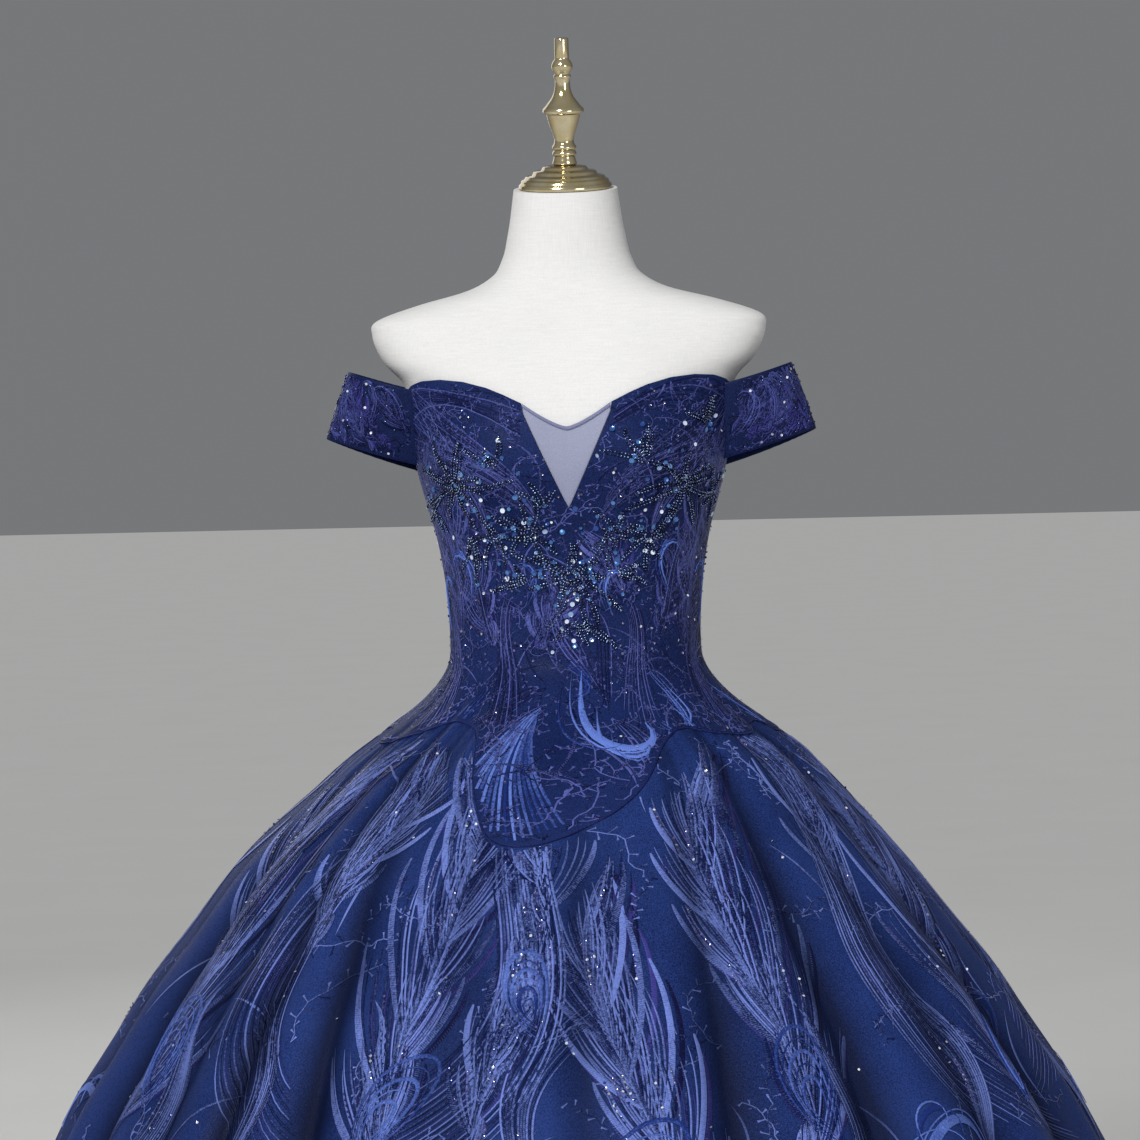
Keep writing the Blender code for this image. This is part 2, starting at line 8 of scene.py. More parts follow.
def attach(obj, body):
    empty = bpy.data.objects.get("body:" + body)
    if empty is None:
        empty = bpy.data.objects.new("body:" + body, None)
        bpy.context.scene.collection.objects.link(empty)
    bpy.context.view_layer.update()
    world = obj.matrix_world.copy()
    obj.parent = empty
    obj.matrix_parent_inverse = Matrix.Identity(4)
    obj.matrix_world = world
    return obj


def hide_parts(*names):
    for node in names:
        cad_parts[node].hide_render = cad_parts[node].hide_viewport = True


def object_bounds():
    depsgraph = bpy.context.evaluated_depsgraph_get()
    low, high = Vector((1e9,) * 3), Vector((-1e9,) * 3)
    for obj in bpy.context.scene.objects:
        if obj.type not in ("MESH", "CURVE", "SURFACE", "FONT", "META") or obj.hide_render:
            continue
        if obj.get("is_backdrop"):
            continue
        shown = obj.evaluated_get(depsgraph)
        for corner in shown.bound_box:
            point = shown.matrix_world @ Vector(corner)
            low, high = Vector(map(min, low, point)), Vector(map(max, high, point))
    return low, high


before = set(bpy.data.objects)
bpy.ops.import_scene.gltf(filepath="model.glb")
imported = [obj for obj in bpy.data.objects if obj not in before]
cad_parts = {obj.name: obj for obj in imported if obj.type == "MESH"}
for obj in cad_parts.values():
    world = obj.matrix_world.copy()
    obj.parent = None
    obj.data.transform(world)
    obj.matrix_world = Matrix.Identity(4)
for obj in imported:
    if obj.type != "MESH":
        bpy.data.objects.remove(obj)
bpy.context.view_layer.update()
MM = 0.001
BODY = "gown"
draw = np.random.default_rng(11)


# Camera, floor and light. The camera stands in front of the bodice, turned two degrees round the
# gown, and looks slightly down. The floor is plain and pale. A broad soft key light comes from the
# front, with a soft panel on one side and another behind, so that the dark satin keeps its folds.
CAMERA_TARGET = Vector((-0.004, 0.0, 1.150))
CAMERA_DISTANCE = 3.4
CAMERA_AZIMUTH = math.radians(2.0)
CAMERA_HEIGHT = math.radians(2.5)
CAMERA_ROLL = math.radians(1.3)
PIXELS_PER_RADIAN = 3400
IMAGE_WIDTH = 1140
SENSOR = 36.0
KEY_POWER, KEY_SPREAD, KEY_DIRECTION = 2.55, math.radians(16), (0.36, 1.0, -0.58)
FILL_POWER, RIM_POWER, STUDIO_GLOW = 22, 24, 0.24
FLOOR_HALF = 40.0


class Socket:
    """A node's output. Arithmetic on it adds the Math nodes of the same sum."""

    def __init__(self, finish, output):
        self.finish = finish
        self.output = output

    def math(self, operation, *others):
        """A Math node on this value and the others."""
        inputs = dict(enumerate((self,) + others))
        return self.finish.node("ShaderNodeMath", {"operation": operation}, inputs)

    def __add__(self, other):
        return self.math("ADD", other)

    def __sub__(self, other):
        return self.math("SUBTRACT", other)

    def __rsub__(self, other):
        return self * -1 + other

    def __mul__(self, other):
        return self.math("MULTIPLY", other)

    __radd__ = __add__
    __rmul__ = __mul__


class Finish:
    """A material round one Principled shader. Numbers are set on the shader's own sockets."""

    def __init__(self, name, **numbers):
        self.material = bpy.data.materials.new(name)
        self.material.use_nodes = True
        self.tree = self.material.node_tree
        self.shader = self.tree.nodes["Principled BSDF"]
        for socket, value in numbers.items():
            self.shader.inputs[socket.replace("_", " ")].default_value = value

    def node(self, kind, settings, inputs, output=0):
        """Adds a node, sets it up, then fills its sockets with numbers or links."""
        made = self.tree.nodes.new(kind)
        for key, value in settings.items():
            setattr(made, key, value)
        for key, value in inputs.items():
            if isinstance(value, Socket):
                self.tree.links.new(value.output, made.inputs[key])
            else:
                made.inputs[key].default_value = value
        return Socket(self, made.outputs[output])

    def place(self):
        """Object coordinates, which are metres in the gown's own frame."""
        return self.node("ShaderNodeTexCoord", {}, {}, "Object")

    def stretched(self, vector, scale):
        """Coordinates scaled along each axis."""
        return self.node("ShaderNodeMapping", {}, {"Vector": vector, "Scale": scale})

    def noise(self, vector, scale, detail=2.0):
        """Soft noise of 0 to 1 around a half, with a number of cells a metre."""
        settings = {"Vector": vector, "Scale": scale, "Detail": detail}
        return self.node("ShaderNodeTexNoise", {}, settings, "Fac")

    def cells(self, vector, scale):
        """Distance to the walls of uneven cells, with a number of cells a metre."""
        return self.node("ShaderNodeTexVoronoi", {"feature": "DISTANCE_TO_EDGE"},
                         {"Vector": vector, "Scale": scale}, "Distance")

    def ramp(self, value, low, high):
        """A value taken from low..high to 0..1, held at both ends."""
        inputs = {"Value": value, "From Min": low, "From Max": high}
        return self.node("ShaderNodeMapRange", {"clamp": True}, inputs)

    def mix(self, share, first, second):
        """Colour between two colours."""
        return self.node("ShaderNodeMix", {"data_type": "RGBA"}, {0: share, 6: first, 7: second}, 2)

    def feed(self, name, value):
        """Links a value to one of the shader's sockets."""
        self.tree.links.new(value.output, self.shader.inputs[name])

    def bump(self, height, distance, strength=1.0):
        """Relief from a height of 0 to 1 that stands for a distance in metres."""
        inputs = {"Height": height, "Distance": distance, "Strength": strength}
        self.feed("Normal", self.node("ShaderNodeBump", {}, inputs))


def colour(red, green, blue):
    """A screen colour of 0 to 255 as the linear colour that shaders take."""
    parts = np.array([red, green, blue]) / 255
    linear = np.where(parts > 0.04045, ((parts + 0.055) / 1.055) ** 2.4, parts / 12.92)
    return (*[float(part) for part in linear], 1.0)


def soft_panel(name, position, aim, size, power):
    """Square area light facing a point."""
    light = bpy.data.lights.new(name, "AREA")
    light.shape = "SQUARE"
    light.size = size
    light.energy = power
    panel = bpy.data.objects.new(name, light)
    panel.location = position
    panel.rotation_mode = "QUATERNION"
    panel.rotation_quaternion = (Vector(aim) - Vector(position)).to_track_quat("-Z", "Y")
    bpy.context.scene.collection.objects.link(panel)


camera_back = Vector((
    math.sin(CAMERA_AZIMUTH) * math.cos(CAMERA_HEIGHT),
    -math.cos(CAMERA_AZIMUTH) * math.cos(CAMERA_HEIGHT),
    math.sin(CAMERA_HEIGHT),
))
camera_data = bpy.data.cameras.new("camera")
camera_data.sensor_width = SENSOR
camera_data.lens = SENSOR * PIXELS_PER_RADIAN / IMAGE_WIDTH
camera_data.clip_start = 0.05
camera_data.clip_end = 200.0
camera = bpy.data.objects.new("camera", camera_data)
camera.location = CAMERA_TARGET + camera_back * CAMERA_DISTANCE
camera.rotation_mode = "QUATERNION"
facing = (-camera_back).to_track_quat("-Z", "Y")
camera.rotation_quaternion = facing @ Quaternion((0, 0, 1), -CAMERA_ROLL)
bpy.context.scene.collection.objects.link(camera)
bpy.context.scene.camera = camera

floor_mesh = bpy.data.meshes.new("floor")
corners = [(-1, -1), (1, -1), (1, 1), (-1, 1)]
floor_mesh.from_pydata([(FLOOR_HALF * x, FLOOR_HALF * y, 0) for x, y in corners], [], [(0, 1, 2, 3)])
floor = bpy.data.objects.new("floor", floor_mesh)
bpy.context.scene.collection.objects.link(floor)
floor_finish = Finish("pale_floor", Base_Color=colour(214, 213, 211), Roughness=0.9)
grain = floor_finish.noise(floor_finish.place(), 3.0)
floor_finish.feed("Base Color", floor_finish.mix(grain, colour(211, 210, 208), colour(217, 216, 214)))
floor.data.materials.append(floor_finish.material)
floor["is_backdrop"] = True

sun = bpy.data.lights.new("key", "SUN")
sun.energy = KEY_POWER
sun.angle = KEY_SPREAD
key = bpy.data.objects.new("key", sun)
key.rotation_mode = "QUATERNION"
key.rotation_quaternion = Vector(KEY_DIRECTION).to_track_quat("-Z", "Y")
bpy.context.scene.collection.objects.link(key)
soft_panel("fill", (2.4, -3.2, 1.7), (0, 0, 0.9), 1.4, FILL_POWER)
soft_panel("rim", (-1.8, 3.4, 2.6), (0, 0, 1.0), 2.4, RIM_POWER)
world = bpy.data.worlds.new("studio")
world.use_nodes = True
background = world.node_tree.nodes["Background"]
background.inputs["Color"].default_value = colour(226, 228, 232)
background.inputs["Strength"].default_value = STUDIO_GLOW
bpy.context.scene.world = world
bpy.context.scene.view_settings.view_transform = "Standard"


# Dress form. A padded limbless torso under a tight white linen cover, with rounded shoulder ends
# and a neck cut at a slight forward tilt. It holds the gown and carries the knob.
FORM_SECTIONS = np.array([
    # height, half width, depth to the front, depth to the back
    (0.862, 0.1380, 0.0960, 0.1050),
    (0.866, 0.1440, 0.1020, 0.1110),
    (0.900, 0.1550, 0.1110, 0.1220),
    (0.940, 0.1545, 0.1110, 0.1220),
    (0.980, 0.1450, 0.1060, 0.1150),
    (1.020, 0.1310, 0.0980, 0.1030),
    (1.050, 0.1230, 0.0920, 0.0935),
    (1.080, 0.1205, 0.0900, 0.0890),
    (1.110, 0.1212, 0.0910, 0.0880),
    (1.150, 0.1250, 0.0950, 0.0900),
    (1.190, 0.1322, 0.1010, 0.0940),
    (1.225, 0.1420, 0.1080, 0.0980),
    (1.257, 0.1500, 0.1130, 0.1000),
    (1.290, 0.1555, 0.1120, 0.1010),
    (1.320, 0.1600, 0.1070, 0.1010),
    (1.342, 0.1675, 0.0990, 0.0985),
    (1.358, 0.1830, 0.0910, 0.0950),
    (1.373, 0.1915, 0.0830, 0.0910),
    (1.388, 0.1960, 0.0750, 0.0850),
    (1.401, 0.1935, 0.0680, 0.0785),
    (1.417, 0.1500, 0.0600, 0.0700),
    (1.430, 0.1010, 0.0550, 0.0640),
    (1.444, 0.0750, 0.0520, 0.0590),
    (1.460, 0.0650, 0.0505, 0.0560),
    (1.485, 0.0585, 0.0500, 0.0530),
    (1.530, 0.0515, 0.0490, 0.0510),
])
SECTION_POWER = 2.2
NECK_TILT = math.radians(9.0)
NECK_TILT_FROM_Z = 1.44
NECK_Z = 1.530
BUST = {"form": 8 * MM, "gown": 11 * MM}
BUST_X, BUST_Z, BUST_WIDTH, BUST_HEIGHT = 0.078, 1.262, 0.046, 0.050


def smooth(at, keys, values):
    """Cubic through a table's rows: each span blends its end values and end slopes."""
    order = np.argsort(keys)
    keys, values = np.asarray(keys, float)[order], np.asarray(values, float)[order]
    slopes = np.gradient(values, keys)
    at = np.clip(at, keys[0], keys[-1])
    low = np.clip(np.searchsorted(keys, at) - 1, 0, len(keys) - 2)
    span = keys[low + 1] - keys[low]
    t = (at - keys[low]) / span
    start = (2 * t**3 - 3 * t**2 + 1) * values[low] + (t**3 - 2 * t**2 + t) * span * slopes[low]
    end = (3 * t**2 - 2 * t**3) * values[low + 1] + (t**3 - t**2) * span * slopes[low + 1]
    return start + end


def rounded(angle, half, front, back, power):
    """Superellipse: x is half width times sine to the power 2/p, y is depth times cosine to it."""
    across, ahead = np.sin(np.radians(angle)), np.cos(np.radians(angle))
    depth = np.where(ahead > 0, front, back)
    x = half * np.sign(across) * np.abs(across) ** (2 / power)
    y = -depth * np.sign(ahead) * np.abs(ahead) ** (2 / power)
    out_x = np.sign(across) * np.abs(across) ** (2 - 2 / power) / half
    out_y = -np.sign(ahead) * np.abs(ahead) ** (2 - 2 / power) / depth
    length = np.hypot(out_x, out_y)
    return x, y, out_x / length, out_y / length


def torso(angle, z, out=0.0, bust="form"):
    """Body surface: the rounded section at that height, two bust mounds, and the neck's tilt."""
    angle, z = np.broadcast_arrays(np.asarray(angle, float), np.asarray(z, float))
    sizes = [smooth(z, FORM_SECTIONS[:, 0], FORM_SECTIONS[:, k]) for k in (1, 2, 3)]
    x, y, out_x, out_y = rounded(angle, *sizes, SECTION_POWER)
    mound = np.exp(-(((np.abs(x) - BUST_X) / BUST_WIDTH) ** 2) - ((z - BUST_Z) / BUST_HEIGHT) ** 2)
    y = y - BUST[bust] * mound * np.clip(np.cos(np.radians(angle)) * 3, 0, 1)
    rise = np.clip((z - NECK_TILT_FROM_Z) / (NECK_Z - NECK_TILT_FROM_Z), 0, 1)
    return np.stack([x + out * out_x, y + out * out_y, z + y * math.tan(NECK_TILT) * rise], axis=-1)


def add_piece(name, points, faces, finish, uv=None, sharp=40.0, fold_shade=None):
    """A mesh object on the gown's body from arrays of points, of faces, of a UV pair a point and of its
    depth between folds, which is painted as shade. Faces are turned over if their signed volume is
    negative and no UV is given."""
    points, faces = np.asarray(points, float).reshape(-1, 3), np.asarray(faces)
    a, b, c = points[faces[:, 0]], points[faces[:, 1]], points[faces[:, 2]]
    volume = np.einsum("ij,ij->i", a, np.cross(b, c)).sum()
    if faces.shape[1] == 4:
        d = points[faces[:, 3]]
        volume += np.einsum("ij,ij->i", a, np.cross(c, d)).sum()
    if volume < 0 and uv is None:
        faces = faces[:, ::-1]
    mesh = bpy.data.meshes.new(name)
    mesh.vertices.add(len(points))
    mesh.vertices.foreach_set("co", points.astype(np.float32).ravel())
    mesh.loops.add(faces.size)
    mesh.loops.foreach_set("vertex_index", faces.astype(np.int32).ravel())
    mesh.polygons.add(len(faces))
    mesh.polygons.foreach_set("loop_start", np.arange(0, faces.size, faces.shape[1], dtype=np.int32))
    mesh.update(calc_edges=True)
    if uv is not None:
        layer = mesh.uv_layers.new(name="stitch")
        layer.data.foreach_set("uv", np.asarray(uv, np.float32)[faces.ravel()].ravel())
    # Each point's depth between folds, which the finish paints as shade.
    if fold_shade is not None:
        layer = mesh.attributes.new(name="fold_shade", type="FLOAT", domain="POINT")
        layer.data.foreach_set("value", np.asarray(fold_shade, np.float32).ravel())
    mesh.polygons.foreach_set("use_smooth", np.ones(len(faces), bool))
    mesh.set_sharp_from_angle(angle=math.radians(sharp))
    mesh.validate()
    obj = bpy.data.objects.new(name, mesh)
    mesh.materials.append(finish.material)
    bpy.context.scene.collection.objects.link(obj)
    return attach(obj, BODY)


def ring_faces(rings, around):
    """Quads between rings of points that close on themselves."""
    here = np.arange(rings * around).reshape(rings, around)
    there = np.roll(here, -1, axis=1)
    quads = [here[:-1], there[:-1], there[1:], here[1:]]
    return np.stack(quads, axis=-1).reshape(-1, 4)


linen = Finish("linen_cover", Base_Color=colour(226, 224, 220), Roughness=0.85)
spot = linen.place()
warp = linen.noise(linen.stretched(spot, (900, 900, 60)), 1.0, 1.0)
weft = linen.noise(linen.stretched(spot, (60, 60, 900)), 1.0, 1.0)
blotch = linen.noise(spot, 9.0, 3.0)
thread = warp * 0.5 + weft * 0.5
tone = linen.ramp(thread * 0.7 + blotch * 0.3, 0.3, 0.7)
linen.feed("Base Color", linen.mix(tone, colour(220, 219, 217), colour(236, 235, 234)))
linen.feed("Roughness", 0.78 + 0.14 * thread)
linen.bump(thread, 0.35 * MM, 0.7)

FORM_AROUND = 144
FORM_ROWS = (
    # from height, to height, rings
    (0.862, 0.95, 12), (0.96, 1.33, 40), (1.335, 1.45, 48), (1.455, NECK_Z, 14),
)
form_z = np.concatenate([np.linspace(*row) for row in FORM_ROWS])
form_angles = np.linspace(-180, 180, FORM_AROUND, endpoint=False)
form_rings = torso(form_angles[None, :], form_z[:, None])
middles = [ring.mean(axis=0)[None, None].repeat(FORM_AROUND, axis=1) for ring in form_rings[[0, -1]]]
inner_low = form_rings[:1] * 0.5 + middles[0] * 0.5
inner_high = form_rings[-1:] * 0.5 + middles[1] * 0.5
centre_low = form_rings[:1] * 0.001 + middles[0] * 0.999
centre_high = form_rings[-1:] * 0.001 + middles[1] * 0.999
form_points = np.concatenate([centre_low, inner_low, form_rings, inner_high, centre_high])
form = add_piece("form_cover", form_points, ring_faces(len(form_points), FORM_AROUND), linen)
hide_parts("form_torso")


# Neck cap and knob. Turned and polished pale gold, screwed on the tilted top of the neck: a
# stepped cap, three beads, a cup with a collar, a waisted cone, a ball and a plain peg.
CAP_PROFILE = (
    # radius, height above the neck's top, in millimetres
    (0.2, 0.3), (45.2, 0.3), (46.3, 0.9), (46.5, 2.4), (46.2, 4.4), (45.2, 5.6), (44.2, 6.2),
    (43.9, 7.4), (43.5, 8.9), (42.2, 9.9), (40.6, 10.4), (40.1, 11.2), (39.6, 12.4), (38.0, 13.2),
    (33.2, 14.0), (32.2, 14.8), (31.7, 16.6), (30.4, 17.8), (24.4, 18.6), (23.0, 19.4),
    (22.5, 21.0), (21.2, 22.2), (14.5, 23.3), (0.2, 23.5),
)
KNOB_PROFILE = (
    (0.2, 23.8), (11.3, 23.8), (12.1, 24.6), (12.2, 26.0), (11.2, 28.8), (10.6, 32.0),
    (11.2, 32.7), (11.9, 33.9), (12.1, 35.0), (11.8, 36.2), (11.0, 37.4), (10.6, 38.0),
    (11.2, 38.8), (11.9, 39.9), (12.1, 41.0), (11.8, 42.2), (11.0, 43.4), (10.4, 44.2),
    (9.7, 46.2), (9.6, 48.5), (10.4, 52.4), (12.0, 57.0), (13.8, 62.0), (15.3, 67.0),
    (16.2, 70.6), (16.8, 73.4), (18.8, 74.1), (20.2, 75.1), (20.6, 77.0), (20.3, 78.7),
    (19.4, 79.9), (18.1, 81.1), (15.6, 84.2), (13.0, 87.6), (10.6, 91.0), (9.0, 94.6),
    (8.1, 98.0), (7.7, 101.0), (7.4, 104.6), (7.5, 108.0), (8.3, 109.2), (8.8, 110.4),
    (8.5, 111.8), (7.2, 112.8), (7.4, 113.8), (8.8, 115.6), (10.1, 118.0), (10.6, 120.5),
    (10.1, 123.0), (8.8, 125.6), (7.4, 127.4), (7.0, 128.2), (7.1, 129.2), (7.1, 146.6),
    (6.8, 147.8), (6.0, 148.4), (0.2, 148.4),
)
TURNED_AROUND = 64


def turned(profile, around):
    """Surface of revolution: each profile point's radius carried round a full turn."""
    radius, height = np.array(profile).T * MM
    turn = np.linspace(0, 2 * np.pi, around, endpoint=False)
    x, y = radius[:, None] * np.cos(turn), radius[:, None] * np.sin(turn)
    return np.stack([x, y, height[:, None] + 0 * x], axis=-1)


def tilted(points):
    """Turns points about X by the neck's tilt and sets them on the neck."""
    y = points[..., 1] * math.cos(NECK_TILT) - points[..., 2] * math.sin(NECK_TILT)
    z = points[..., 1] * math.sin(NECK_TILT) + points[..., 2] * math.cos(NECK_TILT)
    return np.stack([points[..., 0], y, z + NECK_Z], axis=-1)


gold = Finish("polished_gold", Base_Color=colour(226, 205, 150), Roughness=0.12, Metallic=0.9)
rub = gold.noise(gold.place(), 60.0, 4.0)
polish = gold.mix(gold.ramp(rub, 0.3, 0.7), colour(228, 208, 154), colour(246, 234, 198))
# Painted reflection: towards grazing angles the gold is mixed to dark brown, which stands for dark
# surroundings mirrored at its rims.
painted_rim_reflection = gold.node("ShaderNodeLayerWeight", {}, {"Blend": 0.45}, "Facing")
gold.feed("Base Color", gold.mix(gold.ramp(painted_rim_reflection, 0.2, 0.75) * 0.85, polish, colour(96, 72, 34)))
gold.feed("Roughness", 0.07 + 0.12 * rub)
gold.bump(gold.noise(gold.stretched(gold.place(), (40, 40, 1400)), 1.0), 0.03 * MM, 0.4)
for name, profile, node in (("cap_turning", CAP_PROFILE, "neck_cap"), ("knob", KNOB_PROFILE, "finial")):
    rings = tilted(turned(profile, TURNED_AROUND))
    piece = add_piece(name, rings, ring_faces(len(profile), TURNED_AROUND), gold, sharp=50)
    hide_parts(node)


# Stand. A painted steel pole runs up into the form's underside from a low round base.
BASE_PROFILE = (
    # radius, height in millimetres
    (0.2, 0), (159.0, 0), (161.4, 0.8), (162, 2.4), (162, 7.4), (161.0, 9.8), (158, 11.8),
    (140, 13.6), (110, 15.4), (70, 17.4), (40, 19.2), (31, 21.4), (27, 25.4), (24.6, 31),
    (23.4, 35.2), (21.6, 37.4), (19, 38), (0.2, 38),
)
POLE_PROFILE = ((0.2, 38.3), (13, 38.3), (13, 200), (13, 400), (13, 600), (13, 861.7), (0.2, 861.7))
steel = Finish("painted_steel", Base_Color=colour(46, 46, 48), Roughness=0.4, Metallic=0.6)
flake = steel.noise(steel.place(), 420.0, 3.0)
steel.feed("Roughness", 0.32 + 0.22 * flake)
steel.feed("Base Color", steel.mix(flake, colour(40, 40, 42), colour(56, 56, 58)))
steel.bump(flake, 0.08 * MM, 0.5)
for name, profile, node in (("base_casting", BASE_PROFILE, "stand_base"),
                            ("pole_tube", POLE_PROFILE, "stand_pole")):
    piece = add_piece(name, turned(profile, TURNED_AROUND), ring_faces(len(profile), TURNED_AROUND),
                      steel, sharp=35)
    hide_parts(node)


# Skirt. Five gores of navy satin under fine net, gathered into the waist seam and standing out
# over their own fullness to the floor. Crests run on the bell's outline, and the valleys between
# them are deep at the hem and close up into small gathers at the waist.
WAIST_Z = 1.066
HEM_Z = 0.008
SEAM = 0.3 * MM
SKIRT_WALL = 2.0 * MM
SKIRT_SECTIONS = np.array([
    # height, half width, depth to the front, depth to the back
    (1.066, 0.1250, 0.0945, 0.0945),
    (1.052, 0.1285, 0.0985, 0.1000),
    (1.040, 0.1365, 0.1075, 0.1105),
    (1.020, 0.1560, 0.1280, 0.1330),
    (0.998, 0.1860, 0.1590, 0.1670),
    (0.970, 0.2250, 0.1980, 0.2070),
    (0.942, 0.2550, 0.2290, 0.2400),
    (0.915, 0.2830, 0.2570, 0.2690),
    (0.887, 0.3110, 0.2840, 0.2980),
    (0.859, 0.3360, 0.3080, 0.3240),
    (0.803, 0.3800, 0.3520, 0.3700),
    (0.748, 0.4240, 0.3950, 0.4150),
    (0.692, 0.4610, 0.4330, 0.4540),
    (0.637, 0.4970, 0.4690, 0.4910),
    (0.583, 0.5260, 0.4990, 0.5220),
    (0.500, 0.5680, 0.5420, 0.5660),
    (0.400, 0.6150, 0.5900, 0.6150),
    (0.300, 0.6560, 0.6320, 0.6580),
    (0.200, 0.6920, 0.6690, 0.6960),
    (0.100, 0.7230, 0.7010, 0.7280),
    (0.008, 0.7480, 0.7270, 0.7540),
])
FOLD_VALLEYS = np.array([
    # angle at the waist, angle at the hem, depth at the hem in millimetres
    (-180, -180, 20), (-162, -164, 30), (-145, -148, 36), (-127, -131, 28), (-111, -114, 34),
    (-96, -97, 28), (-80, -79, 24), (-66, -62, 30), (-54, -47, 22), (-46, -36, 34),
    (-38, -18, 26), (-14, -6, 14), (3, 4, 16), (25, 13, 28), (38, 36, 34), (53, 55, 24),
    (68, 72, 30), (84, 88, 24), (100, 104, 30), (117, 120, 28), (133, 136, 36),
    (149, 151, 30), (165, 166, 26), (180, 180, 20),
])
VALLEY_SOFTNESS = 0.17
CREST_POWER = 0.35
FOLD_START, FOLD_FULL, FOLD_GROWTH, FOLD_TURN = 0.018, 0.62, 0.75, 0.8
SWAY, SWAY_FROM_Z, SWAY_TO_Z = -12 * MM, 0.99, 0.86
GATHERS, GATHER_DEPTH, GATHER_DROP = 88, 2.2 * MM, 0.055
CREASES, CREASE_DEPTH = 37, 7.0 * MM


def gathers(angle, drop):
    """Small folds, set in from the crest: fine gathers just under the waist seam that fade out,
    and broader uneven creases that grow downwards. Both are cosines of a bent angle."""
    turn = np.radians(angle)
    fine = 0.5 - 0.5 * np.cos(GATHERS * turn + 2.2 * np.sin(5 * turn) + 1.4 * np.sin(13 * turn + 1))
    near = np.exp(-(((drop - GATHER_DROP) / GATHER_DROP) ** 2))
    bent = CREASES * turn + 2.6 * np.sin(3 * turn + 1) + 5 * drop * np.sin(2 * turn)
    broad = 0.5 - 0.5 * np.cos(bent)
    tall = np.clip((drop - 0.03) / 0.5, 0, 1) ** 0.8
    uneven = 0.55 + 0.45 * np.sin(7 * turn + 2 * np.sin(4 * turn))
    return GATHER_DEPTH * near * fine + CREASE_DEPTH * tall * uneven * broad


def fold_growth(drop):
    """Share of the hem's fold depth that is reached at a share of the way down."""
    return np.clip((drop - FOLD_START) / (FOLD_FULL - FOLD_START), 0, 1) ** FOLD_GROWTH


def fold_depth(angle, drop):
    """How far a fold is set in from its crests. Between two valleys the cloth rises as sine
    squared plus a softness, to a power. The valleys turn from waist to hem."""
    turned_by = drop**FOLD_TURN
    valleys = FOLD_VALLEYS[:, 0][:, None] * (1 - turned_by.ravel()) \
        + FOLD_VALLEYS[:, 1][:, None] * turned_by.ravel()
    index = np.clip((angle.ravel() >= valleys).sum(axis=0) - 1, 0, len(FOLD_VALLEYS) - 2)
    left = np.take_along_axis(valleys, index[None], 0)[0].reshape(angle.shape)
    right = np.take_along_axis(valleys, index[None] + 1, 0)[0].reshape(angle.shape)
    index = index.reshape(angle.shape)
    share = np.clip((angle - left) / (right - left), 0, 1)
    depth = FOLD_VALLEYS[index, 2] * (1 - share) + FOLD_VALLEYS[index + 1, 2] * share
    soft = VALLEY_SOFTNESS**2
    rise = (np.sin(np.pi * share) ** 2 + soft) ** CREST_POWER - soft**CREST_POWER
    rise /= (1 + soft) ** CREST_POWER - soft**CREST_POWER
    return depth * MM * fold_growth(drop) * (1 - rise)


def skirt(angle, z, gathered=1.0):
    """Skirt surface: crests lie on the bell's section at that height, and the folds and gathers
    are set in from them along the section's normal."""
    angle, z = np.broadcast_arrays(np.asarray(angle, float), np.asarray(z, float))
    angle = (angle + 180) % 360 - 180
    drop = np.clip((WAIST_Z - z) / (WAIST_Z - HEM_Z), 0, 1)
    set_in = fold_depth(angle, drop) + gathered * gathers(angle, drop)
    sizes = [smooth(z, SKIRT_SECTIONS[:, 0], SKIRT_SECTIONS[:, k]) for k in (1, 2, 3)]
    power = SECTION_POWER + (2.0 - SECTION_POWER) * np.minimum(1, drop * 4)
    x, y, out_x, out_y = rounded(angle, *sizes, power)
    swayed = np.clip((SWAY_FROM_Z - z) / (SWAY_FROM_Z - SWAY_TO_Z), 0, 1)
    x = x + SWAY * (3 * swayed**2 - 2 * swayed**3)
    return np.stack([x - set_in * out_x, y - set_in * out_y, z + 0 * x], axis=-1)


def skirt_hollow(angle, z):
    """Share from 0 on the crests to 1 in the valleys, which paints shade on the cloth between folds."""
    angle, z = np.broadcast_arrays(np.asarray(angle, float), np.asarray(z, float))
    angle = (angle + 180) % 360 - 180
    drop = np.clip((WAIST_Z - z) / (WAIST_Z - HEM_Z), 0, 1)
    set_in = fold_depth(angle, drop) + gathers(angle, drop)
    return np.clip(set_in / ((6 + 22 * fold_growth(drop)) * MM), 0, 1)


# A surface's slopes are taken between points this many degrees and metres to either side.
SLOPE_ANGLE, SLOPE_RISE = 0.05, 0.0005


def lifted(surface, first, second, lift, steps=(SLOPE_ANGLE, SLOPE_RISE)):
    """Points on a surface moved out along its normal, the cross product of its two slopes."""
    first, second = np.broadcast_arrays(np.asarray(first, float), np.asarray(second, float))
    along = surface(first + steps[0], second) - surface(first - steps[0], second)
    up = surface(first, second + steps[1]) - surface(first, second - steps[1])
    normal = np.cross(along, up)
    normal /= np.linalg.norm(normal, axis=-1, keepdims=True) + 1e-12
    return surface(first, second) + normal * np.asarray(lift)[..., None], normal


